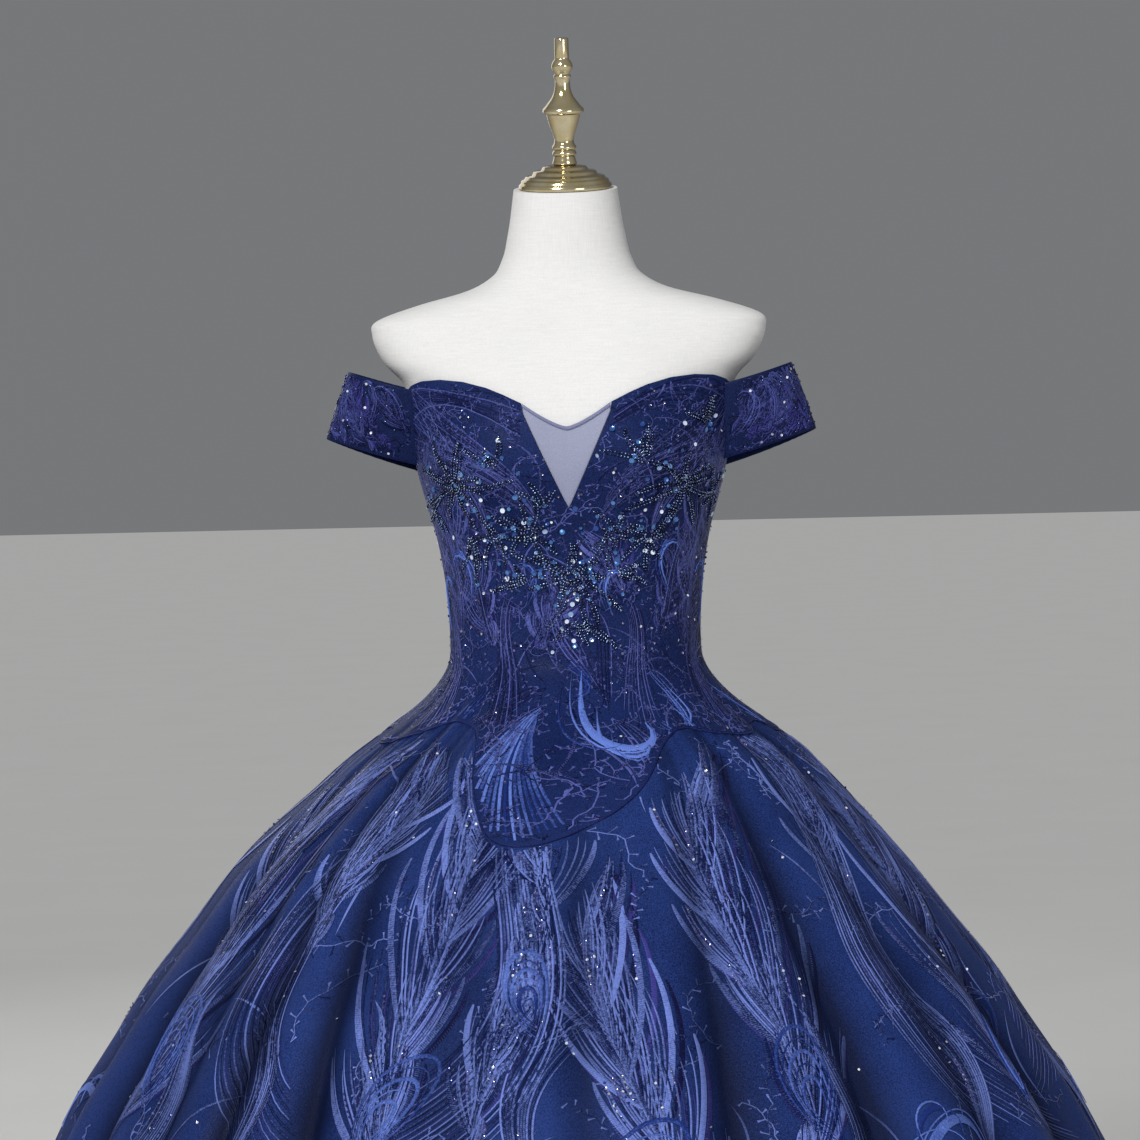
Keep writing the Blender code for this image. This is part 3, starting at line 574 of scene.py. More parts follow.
def shell(surface, across, low, high, wall, rows, steps=(SLOPE_ANGLE, SLOPE_RISE)):
    """Closed wall of cloth. Its profile runs up the outer face, over a rounded edge, down the
    inner face and round the lower edge, and is carried across the piece. Returns points and faces."""
    radius = wall / 2
    span = np.asarray(rows)[:, None]
    flip = np.sign(high - low)
    straight = low + flip * radius + (high - low - 2 * flip * radius) * span
    over = [high + flip * radius * (math.sin(turn) - 1) for turn in (np.pi / 3, 2 * np.pi / 3)]
    under = [low - flip * radius * (math.sin(turn) - 1) for turn in (np.pi / 3, 2 * np.pi / 3)]
    spread = [radius * math.cos(np.pi / 3), -radius * math.cos(np.pi / 3)]
    seconds = np.concatenate([straight, over, straight[::-1], under])
    count = len(straight)
    lifts = np.concatenate([
        np.zeros(count), [spread[0] - radius, spread[1] - radius],
        np.full(count, -wall), [spread[1] - radius, spread[0] - radius],
    ])
    points, _ = lifted(surface, across[None, :], seconds, lifts[:, None], steps)
    rings, columns = points.shape[:2]
    here = np.arange(rings * columns).reshape(rings, columns)
    there = np.roll(here, -1, axis=0)
    skin = np.stack([here[:, :-1], here[:, 1:], there[:, 1:], there[:, :-1]], axis=-1).reshape(-1, 4)
    outer = np.arange(count - 1)
    inner = 2 * count + 1 - outer
    caps = np.stack([outer, outer + 1, inner - 1, inner], axis=-1)
    ends = [(count - 1, count, count + 1, count + 2), (2 * count + 1, 2 * count + 2, 2 * count + 3, 0)]
    caps = np.concatenate([caps, ends])
    first = here[:, 0][caps]
    last = here[:, -1][caps][:, ::-1]
    return points, np.concatenate([skin, first[:, ::-1], last[:, ::-1]])


def painted_fold_shade(finish, tint):
    """Painted shade: a colour darkened towards deep navy between folds by the fold depth attribute, which
    is nought where a piece has none.
    """
    fold_shade = finish.node("ShaderNodeAttribute", {"attribute_name": "fold_shade"}, {}, "Fac")
    return finish.mix(finish.ramp(fold_shade, 0.15, 0.9) * 0.82, tint, colour(4, 8, 28))


def satin_under_net(name, deep, bright, scale):
    """Navy satin seen through fine net: tiny cells, soft mottling, a low sheen, and painted shade between
    folds.
    """
    finish = Finish(name, Roughness=0.5, Sheen_Weight=0.06, Sheen_Roughness=0.4,
                    Sheen_Tint=colour(90, 120, 200), Specular_IOR_Level=0.1)
    spot = finish.place()
    cord = finish.ramp(finish.cells(spot, scale), 0.02, 0.16)
    speck = finish.noise(spot, scale * 1.3, 1.0)
    cloud = finish.noise(spot, 7.0, 3.0)
    tone = finish.ramp(speck * 0.6 + cloud * 0.4, 0.38, 0.62)
    finish.feed("Base Color", painted_fold_shade(finish, finish.mix(tone, deep, bright)))
    finish.feed("Roughness", 0.62 - 0.2 * cord)
    finish.bump(cord + speck * 0.5, 0.25 * MM, 0.55)
    return finish


skirt_satin = satin_under_net("skirt_satin_net", colour(15, 32, 80), colour(40, 62, 126), 620)
FOLD_SHARE = np.concatenate([[0.0, 0.02, 0.05, 0.09], np.linspace(0.14, 0.86, 15), [0.91, 0.95, 0.98]])
skirt_rows = np.concatenate([np.linspace(0, 0.62, 34)[:-1], np.linspace(0.62, 0.86, 22)[:-1],
                             np.linspace(0.86, 1.0, 24)])
GORES = (
    # node, first valley, last valley, flat width at the hem and area of its cut
    ("skirt_back_right", 0, 4, 1.10, 0.80),
    ("skirt_side_right", 4, 9, 1.12, 0.80),
    ("skirt_front", 9, 14, 1.12, 0.80),
    ("skirt_side_left", 14, 19, 1.25, 0.90),
    ("skirt_back_left", 19, 23, 1.00, 0.72),
)
SLOPE_COLUMN = 0.002


def fold_angle(column, z):
    """Angle at which a cloth column lies: whole numbers are valleys, which turn with the height."""
    drop = np.clip((WAIST_Z - z) / (WAIST_Z - HEM_Z), 0, 1) ** FOLD_TURN
    keys = np.arange(len(FOLD_VALLEYS))
    waist, hem = (np.interp(column, keys, FOLD_VALLEYS[:, k]) for k in (0, 1))
    return waist * (1 - drop) + hem * drop, z


def gore_surface(column, z):
    """Skirt surface by cloth column and height."""
    return skirt(*fold_angle(column, z))


for node, first, last, width, cut in GORES:
    columns = (np.arange(first, last)[:, None] + FOLD_SHARE[None, :]).ravel()
    columns = np.append(columns, last)
    columns[0] += 1e-4
    columns[-1] -= 1e-4
    low = np.full(columns.shape, HEM_Z)
    high = np.full(columns.shape, WAIST_Z - SEAM)
    points, faces = shell(gore_surface, columns, low, high, SKIRT_WALL, skirt_rows,
                          (SLOPE_COLUMN, SLOPE_RISE))
    # Depth between folds at each point, painted as shade by the satin's finish.
    fold_shade = skirt_hollow(*fold_angle(columns[None, :], points[..., 2]))
    gore = add_piece(node.replace("skirt", "gore"), points, faces, skirt_satin, fold_shade=fold_shade)
    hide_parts(node)


# Embroidery on the skirt. Plumes, sheaves, peacock eyes, scrolls and sprigs worked by machine
# through the net in violet-blue thread. Each line of stitches is a narrow ribbon that follows the
# folds just above the satin, and the broad bands are domed.
STITCH_STEP = 11 * MM
THREAD, UNDER = 1.9 * MM, 1.6 * MM
EDGE_CLEAR = 1.5 * MM


def cubic(controls, share):
    """Cubic curve through control points of shape (..., 4, 2) at the shares along it."""
    t = np.asarray(share)[:, None]
    a, b, c, d = (controls[..., None, k, :] for k in range(4))
    return (1 - t) ** 3 * a + 3 * t * (1 - t) ** 2 * b + 3 * t**2 * (1 - t) * c + t**3 * d


def samples(length):
    """Shares along a line, a stitch step apart and at least six."""
    return np.linspace(0, 1, max(6, math.ceil(length / STITCH_STEP) + 1))


def tapered(share, width):
    """Widths along a line: a root of the sine, never under a third of the full width."""
    return width * (0.33 + 0.67 * np.sin(np.pi * np.clip(share, 0, 1)) ** 0.6)


def plume(length, sway, hook, lobes, per_lobe, reach, spread, width=THREAD):
    """Feather: a stem in a slight S, with lobes of barbs on both sides. Barbs leave the stem at
    an angle, the lowest of a lobe at the widest, and bend back to run along it like flames. The
    lowest of each lobe is a broad blade."""
    stem = np.array([(0, 0), (sway, 0.35), (-sway, 0.7), (hook, 1)]) * length
    lobe, side, barb = np.meshgrid(np.arange(lobes), [1.0, -1.0], np.arange(per_lobe), indexing="ij")
    lobe, side, barb = lobe.ravel(), side.ravel(), barb.ravel() / (per_lobe - 1)
    first = (lobe + 0.5 * (side > 0)) / (lobes + 0.5)
    root = 0.02 + 0.86 * first + 0.62 / lobes * barb**1.3
    start = cubic(stem, np.minimum(root, 0.98))
    ahead = cubic(stem, np.minimum(root, 0.98) + 0.01) - start
    ahead /= np.linalg.norm(ahead, axis=1, keepdims=True)
    aside = np.stack([ahead[:, 1], -ahead[:, 0]], axis=1) * side[:, None]
    grown = 0.45 + 0.55 * np.sin(np.pi * (0.14 + 0.8 * first))
    ragged = 1 + 0.10 * np.sin(23 * barb + 7 * lobe)
    long = (length * reach * grown * (1 - 0.42 * barb) * ragged * (0.92 + 0.24 * side))[:, None]
    turn = np.radians(spread * (1.15 - 0.85 * barb))[:, None]
    leaving = start + 0.34 * long * (np.cos(1.5 * turn) * ahead + np.sin(1.5 * turn) * aside)
    bending = start + 0.74 * long * (np.cos(1.15 * turn) * ahead + np.sin(1.15 * turn) * aside)
    end = start + long * (np.cos(0.78 * turn) * ahead + np.sin(0.78 * turn) * aside)
    share = samples(length * reach)
    barb_lines = cubic(np.stack([start, leaving, bending, end], axis=1), share)
    barb_widths = tapered(share, width)[None, :] * np.where(barb == 0, 3.2, 1.0)[:, None]
    share = samples(length)
    line = cubic(stem, share)
    slope = np.gradient(line, axis=0)
    slope /= np.linalg.norm(slope, axis=1, keepdims=True)
    beside = np.stack([slope[:, 1], -slope[:, 0]], axis=1)
    places = np.arange(-2, 3)[:, None, None] * 2.6 * MM * (1 - 0.7 * share)[None, :, None]
    stems = line[None] + places * beside[None]
    return [(barb_lines, barb_widths), (stems, np.broadcast_to(tapered(share, width), stems.shape[:2]))]


def sheaf(length, bend, flare, lines, pitch, shape, width=THREAD):
    """Lines side by side along a bent spine. The gaps grow evenly with the share along it for a
    fan, mostly near the end for a flare, or swell and close again like a sine for a wave."""
    spine = np.array([(0, 0), (bend, 0.3), (-bend, 0.66), (flare, 1)]) * length
    share = samples(length)
    line = cubic(spine, share)
    slope = np.gradient(line, axis=0)
    slope /= np.linalg.norm(slope, axis=1, keepdims=True)
    beside = np.stack([slope[:, 1], -slope[:, 0]], axis=1)
    opening = {"fan": share**0.9, "flare": 0.42 + 0.58 * share**1.7,
               "wave": np.sin(np.pi * (0.06 + 0.88 * share)) ** 0.8}
    open_by = opening[shape]
    places = (np.arange(lines) - (lines - 1) / 2) * pitch
    late = 0.12 * np.abs(np.linspace(-1, 1, lines))
    shares = late[:, None] + (1 - 2 * late[:, None]) * share[None, :]
    spines = np.stack([np.interp(shares, share, line[:, k]) for k in (0, 1)], axis=-1)
    besides = np.stack([np.interp(shares, share, beside[:, k]) for k in (0, 1)], axis=-1)
    opened = np.interp(shares, share, open_by)
    made = spines + besides * (places[:, None] * opened)[..., None]
    return [(made, np.broadcast_to(tapered(share, width), made.shape[:2]))]


def scroll(length, turn, power, width, turn_at_start=0.0):
    """One band whose heading turns by a power of the share along it, so that it curls up."""
    share = samples(length * 1.6)
    heading = np.radians(turn_at_start + turn * share**power)
    step = length / (len(share) - 1)
    line = np.stack([np.sin(heading), np.cos(heading)], axis=1) * step
    line = np.concatenate([[[0, 0]], np.cumsum(line[:-1], axis=0)])
    swell = width * (0.12 + 0.88 * np.sin(np.pi * share ** (0.45 + 0.4 * power)) ** 0.8)
    return [(line[None], swell[None])]


def curl(length, turn, width):
    """Flourish: a long tail that curls over into a hook, with a smaller hook and a thin line
    inside it and another thin line along its back."""
    outer = scroll(length, turn, 2.6, width)
    side = np.sign(turn)
    made = list(outer)
    for share, turned, broad, across, up in (
        (0.62, 1.05, 0.5, 1.9 * width, 0.30 * length), (0.42, 1.15, 0.22, 3.2 * width, 0.44 * length),
        (1.12, 0.95, 0.2, -1.1 * width, -0.02 * length), (0.80, 0.80, 0.2, -2.1 * width, 0.10 * length),
    ):
        for lines, widths in scroll(length * share, turn * turned, 2.4, max(width * broad, 1.5 * MM)):
            made.append((lines + np.array([side * across, up]), widths))
    return made


def eye(length, drops, width):
    """Peacock's eye: nested drops on one foot, bent over to one side. A drop's width is the sine
    of the turn round it times a power of the sine of half the turn. Every second drop is thin."""
    turn = np.linspace(0.04, 0.96, math.ceil(length * 2.3 / STITCH_STEP)) * 2 * np.pi
    risen = 0.5 - 0.5 * np.cos(turn)
    line = np.stack([0.27 * np.sin(turn) * np.sin(turn / 2) ** 0.8 + 0.16 * risen**2, risen], axis=1)
    made = []
    for number in range(drops):
        size = length * (1 - 0.15 * number) if number < 5 else length * 0.22
        thick = width * (1 if number % 2 == 0 else 0.4)
        swell = thick * (0.2 + 0.8 * np.sin(turn / 2) ** 2)
        made.append(((line * size + np.array([0, 0.05 * number * length]))[None], swell[None]))
    return made


def sprig(length, knots, width=0.9 * MM):
    """Wandering twig: a path that turns by up to seventy degrees at every knot, with a short
    stub at each knot on alternate sides."""
    heading = np.cumsum(draw.uniform(-70, 70, knots)) * 0.55
    step = length / knots
    path = np.cumsum(np.stack([np.sin(np.radians(heading)), np.cos(np.radians(heading))], 1) * step, 0)
    share = np.linspace(0, 1, knots)
    main = (path[None], np.full((1, knots), width))
    sides = np.radians(heading + np.where(np.arange(knots) % 2, 62, -62))
    reach = step * draw.uniform(0.7, 1.3, knots)[:, None]
    ends = path + np.stack([np.sin(sides), np.cos(sides)], axis=1) * reach
    stubs = path[:, None] + (ends - path)[:, None] * np.linspace(0, 1, 3)[None, :, None]
    return [main, (stubs, np.broadcast_to(np.array([width, width, 2.2 * width]), (knots, 3)))]


def placed(motif, angle, down, lean=0.0, mirror=1, across=2):
    """Motif set on the cloth at an angle and a distance down it. Its own upward axis leans by
    some degrees. Gives, for each group, angles, distances, and metres along and share across."""
    groups = []
    for lines, widths in motif:
        slope = np.gradient(lines, axis=1)
        slope /= np.linalg.norm(slope, axis=2, keepdims=True) + 1e-9
        beside = np.stack([slope[..., 1], -slope[..., 0]], axis=-1)
        offset = np.linspace(-0.5, 0.5, across)
        spread = lines[:, :, None] + beside[:, :, None] * widths[:, :, None, None] * offset[:, None]
        u, v = spread[..., 0] * mirror, spread[..., 1]
        turn = np.radians(lean)
        aside = u * math.cos(turn) + v * math.sin(turn)
        risen = v * math.cos(turn) - u * math.sin(turn)
        run = np.cumsum(np.linalg.norm(np.diff(lines, axis=1, prepend=lines[:, :1]), axis=2), axis=1)
        run = np.broadcast_to(run[:, :, None], u.shape)
        groups.append((aside, angle, down - risen, run, np.broadcast_to(offset + 0.5, u.shape)))
    return groups


def sewn(name, cloth, radius, groups, finish, lift, dome=0.0, inside=None,
         steps=(SLOPE_ANGLE, -SLOPE_RISE), shade=None):
    """Mesh of all the ribbons: each is a strip of quads over its samples. Its UV is the share
    across it plus a whole number of the line's own, and the millimetres along it. A strip that would
    face the cloth is turned over. The dome raises the middle of a broad band. Faces with a
    corner that is not inside the piece of cloth are left out."""
    all_points, all_faces, all_uv, all_shade, used = [], [], [], [], 0
    alike = {}
    for aside, angle, down, run, across in groups:
        angles = angle + np.degrees(aside / radius(down))
        alike.setdefault(down.shape[1:], []).append((angles, down, run, across))
    for members in alike.values():
        angles, down, run, across = (np.concatenate(parts) for parts in zip(*members))
        raised = lift + dome * (1 - (2 * across - 1) ** 2)
        points, normal = lifted(cloth, angles, down, raised, steps)
        lines, count, wide = down.shape
        along = points[:, 1, 0] - points[:, 0, 0]
        over = points[:, 1, -1] - points[:, 1, 0]
        facing = np.einsum("ij,ij->i", np.cross(over, along), normal[:, 1, 0]) < 0
        points[facing] = points[facing][:, :, ::-1]
        here = np.arange(lines * count * wide).reshape(lines, count, wide) + used
        quads = [here[:, :-1, :-1], here[:, :-1, 1:], here[:, 1:, 1:], here[:, 1:, :-1]]
        quads = np.stack(quads, axis=-1).reshape(-1, 4)
        if inside is not None:
            quads = quads[inside(angles, down).ravel()[quads - used].all(axis=1)]
        all_faces.append(quads)
        all_points.append(points.reshape(-1, 3))
        own = draw.integers(0, 10, lines)[:, None, None]
        all_uv.append(np.stack([0.02 + 0.96 * across + own, run * 1000], axis=-1).reshape(-1, 2))
        # Depth between folds at each point, painted as shade by the thread's finish.
        all_shade.append((0 * down if shade is None else shade(angles, down)).ravel())
        used += down.size
    kept, faces = np.unique(np.concatenate(all_faces), return_inverse=True)
    points, uv = np.concatenate(all_points)[kept], np.concatenate(all_uv)[kept]
    fold_shade = None if shade is None else np.concatenate(all_shade)[kept]
    return add_piece(name, points, faces.reshape(-1, 4), finish, uv=uv, fold_shade=fold_shade)


bell_z = np.linspace(WAIST_Z, HEM_Z, 500)
bell_half = smooth(bell_z, SKIRT_SECTIONS[:, 0], SKIRT_SECTIONS[:, 1:3].mean(axis=1))
bell_run = np.concatenate([[0], np.cumsum(np.hypot(np.diff(bell_z), np.diff(bell_half)))])


def skirt_cloth(angle, down):
    """Skirt surface by angle and by distance down the cloth from the waist seam."""
    return skirt(angle, np.interp(down, bell_run, bell_z))


def skirt_shade(angle, down):
    """Depth between folds by angle and by distance down the cloth, for the painted fold shade."""
    return skirt_hollow(angle, np.interp(down, bell_run, bell_z))


def skirt_radius(down):
    """Half the bell's width at a distance down the cloth."""
    return np.interp(down, bell_run, bell_half)


def own_uv(finish):
    """The two parts of a piece's own UV, as values."""
    uv = finish.node("ShaderNodeUVMap", {"uv_map": "stitch"}, {})
    first = finish.node("ShaderNodeSeparateXYZ", {}, {"Vector": uv}, "X")
    return first, Socket(finish, first.output.node.outputs["Y"])


def thread_finish(name, dull, bright, pitch):
    """Stitched thread: rounded across the line, twilled along it with a pitch in millimetres, in cloudy
    shades, with a shade of each line's own. Part of the bright tone is painted sheen in patches, and the
    painted shade between folds darkens it."""
    finish = Finish(name, Roughness=0.38, Specular_IOR_Level=0.35, Sheen_Weight=0.1,
                    Specular_Tint=colour(140, 165, 255), Sheen_Roughness=0.3,
                    Sheen_Tint=colour(130, 155, 255))
    across, run = own_uv(finish)
    centred = across.math("FRACT") * 2 - 1
    own = across.math("FLOOR") * 0.1
    round_over = 1 - centred * centred
    twill = (run * (6.2832 / pitch) + across * 5.0).math("SINE") * 0.5 + 0.5
    cloud = finish.noise(finish.place(), 26.0, 3.0)
    # Painted sheen: bright patches at random on the thread.
    sheen_patch = finish.noise(finish.place(), 8.0, 2.0)
    speck = finish.noise(finish.place(), 520.0, 1.0)
    tone = finish.ramp(cloud * 0.2 + sheen_patch * 0.22 + speck * 0.25 + twill * 0.08 + own * 0.25, 0.40, 0.61)
    finish.feed("Base Color", painted_fold_shade(finish, finish.mix(tone, dull, bright)))
    finish.feed("Roughness", 0.5 - 0.2 * twill)
    finish.bump(round_over + twill * 0.35, 0.5 * MM, 0.8)
    return finish


blue_thread = thread_finish("blue_thread", colour(9, 20, 64), colour(118, 138, 216), 1.9)
lace_thread = thread_finish("lace_thread", colour(9, 16, 54), colour(92, 101, 174), 1.6)
violet_thread = thread_finish("violet_thread", colour(12, 14, 50), colour(62, 60, 136), 2.6)
satin_thread = thread_finish("satin_stitch", colour(24, 44, 112), colour(106, 134, 218), 1.1)

SKIRT_COLUMNS = 16
LACE_EDGE = np.array([
    # angle at the waist, height of the scalloped edge
    (-180, 0.948), (-168, 0.955), (-152, 0.985), (-140, 1.000), (-126, 0.986), (-112, 1.002),
    (-98, 0.985), (-84, 0.998), (-72, 0.986), (-56, 0.996), (-38, 1.009), (-27, 0.992),
    (-20, 0.950), (-14, 0.915), (-6, 0.906), (4, 0.921), (14, 0.948), (22, 0.980), (30, 0.998),
    (46, 0.994), (60, 0.991), (74, 1.000), (88, 0.986), (102, 1.000), (118, 0.984),
    (134, 1.000), (152, 0.982), (168, 0.955), (180, 0.948),
])


def lace_edge(angle):
    """Height of the lace's scalloped edge, a cubic through the table."""
    return smooth((angle + 180) % 360 - 180, LACE_EDGE[:, 0], LACE_EDGE[:, 1])


def below_lace(angle, down):
    """True where the skirt shows below the scalloped edge of the bodice lace."""
    return np.interp(down, bell_run, bell_z) < lace_edge(angle) - EDGE_CLEAR


FRONT_PLUMES = (
    # angle, distance down to the foot, length, lean, mirror
    (12, 0.70, 0.44, -9, 1), (-9, 0.56, 0.26, 12, -1), (17, 1.14, 0.40, -6, 1), (-4, 1.24, 0.46, 6, -1),
)
FRONT_EYES = (
    # angle, distance down to the foot, length, lean
    (5, 0.66, 0.15, 14), (-5, 0.80, 0.17, -10), (8, 0.96, 0.19, 8), (-2, 0.44, 0.09, -20),
)
TWIG_DOWNS = (0.20, 0.34, 0.46, 0.58, 0.70, 0.76, 0.86, 0.96, 1.04, 1.14, 1.22)
upper, lower, violet, bands, twigs = [], [], [], [], []
for column in range(SKIRT_COLUMNS):
    angle = 4 + column * 360 / SKIRT_COLUMNS + draw.uniform(-2.5, 2.5)
    odd = column % 2
    mirror = 1 if column % 4 < 2 else -1
    shift = draw.uniform(-0.025, 0.025)
    if odd:
        upper += placed(plume(0.50, 0.18, 0.08, 6, 11, 0.31, 21), angle, 0.62 + shift, 0, mirror)
        violet += placed(plume(0.49, 0.17, 0.08, 6, 6, 0.29, 24, UNDER), angle, 0.62 + shift, 1, mirror)
        bands += placed(curl(0.26, 250 * mirror, 9 * MM),
                        angle - 8 * mirror, 0.86 + shift, 6 * mirror, 1, 4)
        upper += placed(sheaf(0.24, 0.24, 0.4, 12, 4 * MM, "fan"),
                        angle + 9 * mirror, 0.40, 172, mirror)
    else:
        upper += placed(sheaf(0.48, 0.26, 0.34, 18, 5.4 * MM, "flare"), angle, 0.10, 184, mirror)
        violet += placed(sheaf(0.47, 0.26, 0.34, 17, 5.4 * MM, "flare", 1.2 * MM),
                         angle, 0.10, 184, mirror)
        upper += placed(sheaf(0.24, 0.24, 0.42, 12, 4 * MM, "fan"),
                        angle - 5 * mirror, 0.66, -10 * mirror, mirror)
        bands += placed(curl(0.28, -250 * mirror, 10 * MM),
                        angle + 6 * mirror, 0.74 + shift, 16 * mirror, 1, 4)
        upper += placed(plume(0.24, 0.14, 0.16, 4, 8, 0.38, 30),
                        angle - 4 * mirror, 0.34 + shift, -12 * mirror, mirror)
    beside = angle + 180 / SKIRT_COLUMNS
    low = 1.25 - 0.05 * odd + shift
    lower += placed(plume(0.56, -0.16, -0.10, 6, 11, 0.29, 22), beside, low, 0, mirror)
    violet += placed(plume(0.55, -0.15, -0.10, 6, 6, 0.27, 25, UNDER), beside, low, -1, mirror)
    lower += placed(sheaf(0.30, 0.30, 0.38, 14, 4.4 * MM, "flare"),
                    angle + 2 * mirror, 0.84, 172, mirror)
    lower += placed(plume(0.22, 0.16, 0.2, 4, 8, 0.40, 32),
                    angle - 3 * mirror, 1.25, -10 * mirror, mirror)
    bands += placed(curl(0.30, 255 * mirror, 11 * MM),
                    angle - 6 * mirror, 1.22 + shift, -14 * mirror, 1, 4)
    bands += placed(curl(0.20, -240 * mirror, 8 * MM),
                    angle + 4 * mirror, 1.27 + shift, 24 * mirror, 1, 4)
    bands += placed(eye(0.17 + 0.03 * odd, 6, 5 * MM),
                    angle - 1.5 * mirror, 1.02 + 3 * shift, 12 * mirror, 1, 3)
    if odd:
        bands += placed(eye(0.12, 5, 4 * MM), angle + 6 * mirror, 0.56 + shift, -16 * mirror, 1, 3)
    for down in TWIG_DOWNS:
        for _ in range(2):
            twigs += placed(sprig(draw.uniform(0.07, 0.14), 15, 1.1 * MM),
                            angle + draw.uniform(-11, 11), down, draw.uniform(-90, 90), mirror)
        twigs += placed(scroll(draw.uniform(0.05, 0.12), draw.uniform(-90, 90), 1.4, 2.4 * MM),
                        angle + draw.uniform(-11, 11), down, draw.uniform(-30, 30))
for angle, down, length, lean, mirror in FRONT_PLUMES:
    lower += placed(plume(length, 0.15, 0.12, 6, 11, 0.32, 23), angle, down, lean, mirror)
    violet += placed(plume(length * 0.97, 0.14, 0.11, 6, 6, 0.30, 26, UNDER),
                     angle, down, lean + 1, mirror)
for angle, down, length, lean in FRONT_EYES:
    bands += placed(eye(length, 6, 4.5 * MM), angle, down, lean, 1, 3)
for name, groups, finish, lift, dome in (
    ("skirt_plumes_upper", upper, blue_thread, 0.7, 0),
    ("skirt_plumes_lower", lower, blue_thread, 0.7, 0),
    ("skirt_under_plumes", violet, violet_thread, 0.5, 0),
    ("skirt_scrolls", bands, satin_thread, 0.8, 0.7), ("skirt_sprigs", twigs, blue_thread, 0.6, 0),
):
    sewn(name, skirt_cloth, skirt_radius, groups, finish, lift * MM, dome * MM, below_lace,
         shade=skirt_shade)


# Bodice lace. Embroidered net over boned satin in five panels, cut from the neckline down past
# the waist in one, so that its scalloped edge lies loose on the skirt. A deep V is cut out at
# centre front between the cups.
BODICE_EASE = 2.0 * MM
BODICE_WALL = 2.5 * MM
LACE_WALL = 1.4 * MM
LACE_LIFT = 0.5 * MM
TOP_EDGE = np.array([
    # angle from centre front, height
    (0.0, 1.2150), (13.50, 1.3085), (13.65, 1.3170), (20.0, 1.3260), (26.0, 1.3330),
    (35.0, 1.3395), (45.0, 1.3420), (56.0, 1.3410), (66.0, 1.3370), (78.0, 1.3280),
    (90.0, 1.3220), (110.0, 1.3180), (140.0, 1.3220), (165.0, 1.3200), (180.0, 1.3170),
])
BLEND_HEIGHT = 14 * MM
BASQUE_GATHER = 0.2


def lace(angle, z):
    """Outer face of the lace: the body moved out above the waist and the skirt moved out below
    it, eased into each other over a short height. A fifth of the skirt's gathers shows through."""
    angle, z = np.broadcast_arrays(np.asarray(angle, float), np.asarray(z, float))
    above = torso(angle, np.maximum(z, WAIST_Z - BLEND_HEIGHT), BODICE_EASE + BODICE_WALL, "gown")
    below, _ = lifted(lambda a, b: skirt(a, b, BASQUE_GATHER), angle, np.minimum(z, WAIST_Z - MM),
                      LACE_LIFT + LACE_WALL)
    below = np.concatenate([below[..., :2], z[..., None]], axis=-1)
    above = np.concatenate([above[..., :2], z[..., None]], axis=-1)
    share = np.clip((z - (WAIST_Z - BLEND_HEIGHT)) / BLEND_HEIGHT, 0, 1)[..., None]
    share = share**2 * (3 - 2 * share)
    return above * share + below * (1 - share)


lace_net = satin_under_net("bodice_lace_net", colour(12, 24, 65), colour(31, 49, 105), 700)
PANELS = (
    # piece, nodes that it stands for, first and last angle, columns, flat size, area of its cut
    ("lace_front", ("bodice_front", "basque_front"), -26, 26, 84, (0.21, 0.43), 0.065),
    ("lace_side_left", ("bodice_side_left", "basque_left"), 26, 90, 60, (0.19, 0.37), 0.053),
    ("lace_side_right", ("bodice_side_right", "basque_right"), -90, -26, 60, (0.19, 0.37), 0.053),
    ("lace_back_left", ("bodice_back_left",), 90, 180, 72, (0.26, 0.40), 0.080),
    ("lace_back_right", ("bodice_back_right",), -180, -90, 72, (0.26, 0.40), 0.080),
)
lace_rows = np.concatenate([np.linspace(0, 0.36, 24)[:-1], np.linspace(0.36, 1, 28)])
for name, nodes, first, last, count, flat, cut in PANELS:
    angles = np.linspace(first, last, count + 1)
    if first < 0 < last:
        angles = np.sort(np.concatenate([angles, [-13.65, -13.5, 0, 13.5, 13.65]]))
        angles = np.unique(np.round(angles, 3))
    high = np.interp(np.abs(angles), TOP_EDGE[:, 0], TOP_EDGE[:, 1])
    low = lace_edge(angles * 0.99999)
    points, faces = shell(lace, angles, low, high, LACE_WALL, lace_rows)
    panel = add_piece(name, points, faces, lace_net)
    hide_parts(*nodes)


# Embroidery on the bodice lace. Fans of fine lines spread from the V over the cups, and plumes,
# scrolls and close sprigs cover the sides, the waist and the back. A fine dark cord follows the
# scalloped edge.
LACE_TOP = 1.345
LACE_RADIUS = 0.118
ZIP_CLEAR = 1.4


def lace_cloth(angle, down):
    """Lace surface by angle and by distance down from just above the neckline."""
    return lace(angle, LACE_TOP - down)


def lace_radius(down):
    """One radius for the whole bodice, so that motifs keep their width."""
    return LACE_RADIUS + 0 * down


def within_lace(angle, down):
    """True inside the lace's own cut edges, a stitch's width in."""
    angle = (angle + 180) % 360 - 180
    z = LACE_TOP - down
    under = z < np.interp(np.abs(angle), TOP_EDGE[:, 0], TOP_EDGE[:, 1]) - EDGE_CLEAR
    clear_of_zip = np.abs(angle) < 180 - ZIP_CLEAR
    return under & clear_of_zip & (z > lace_edge(angle) + EDGE_CLEAR)


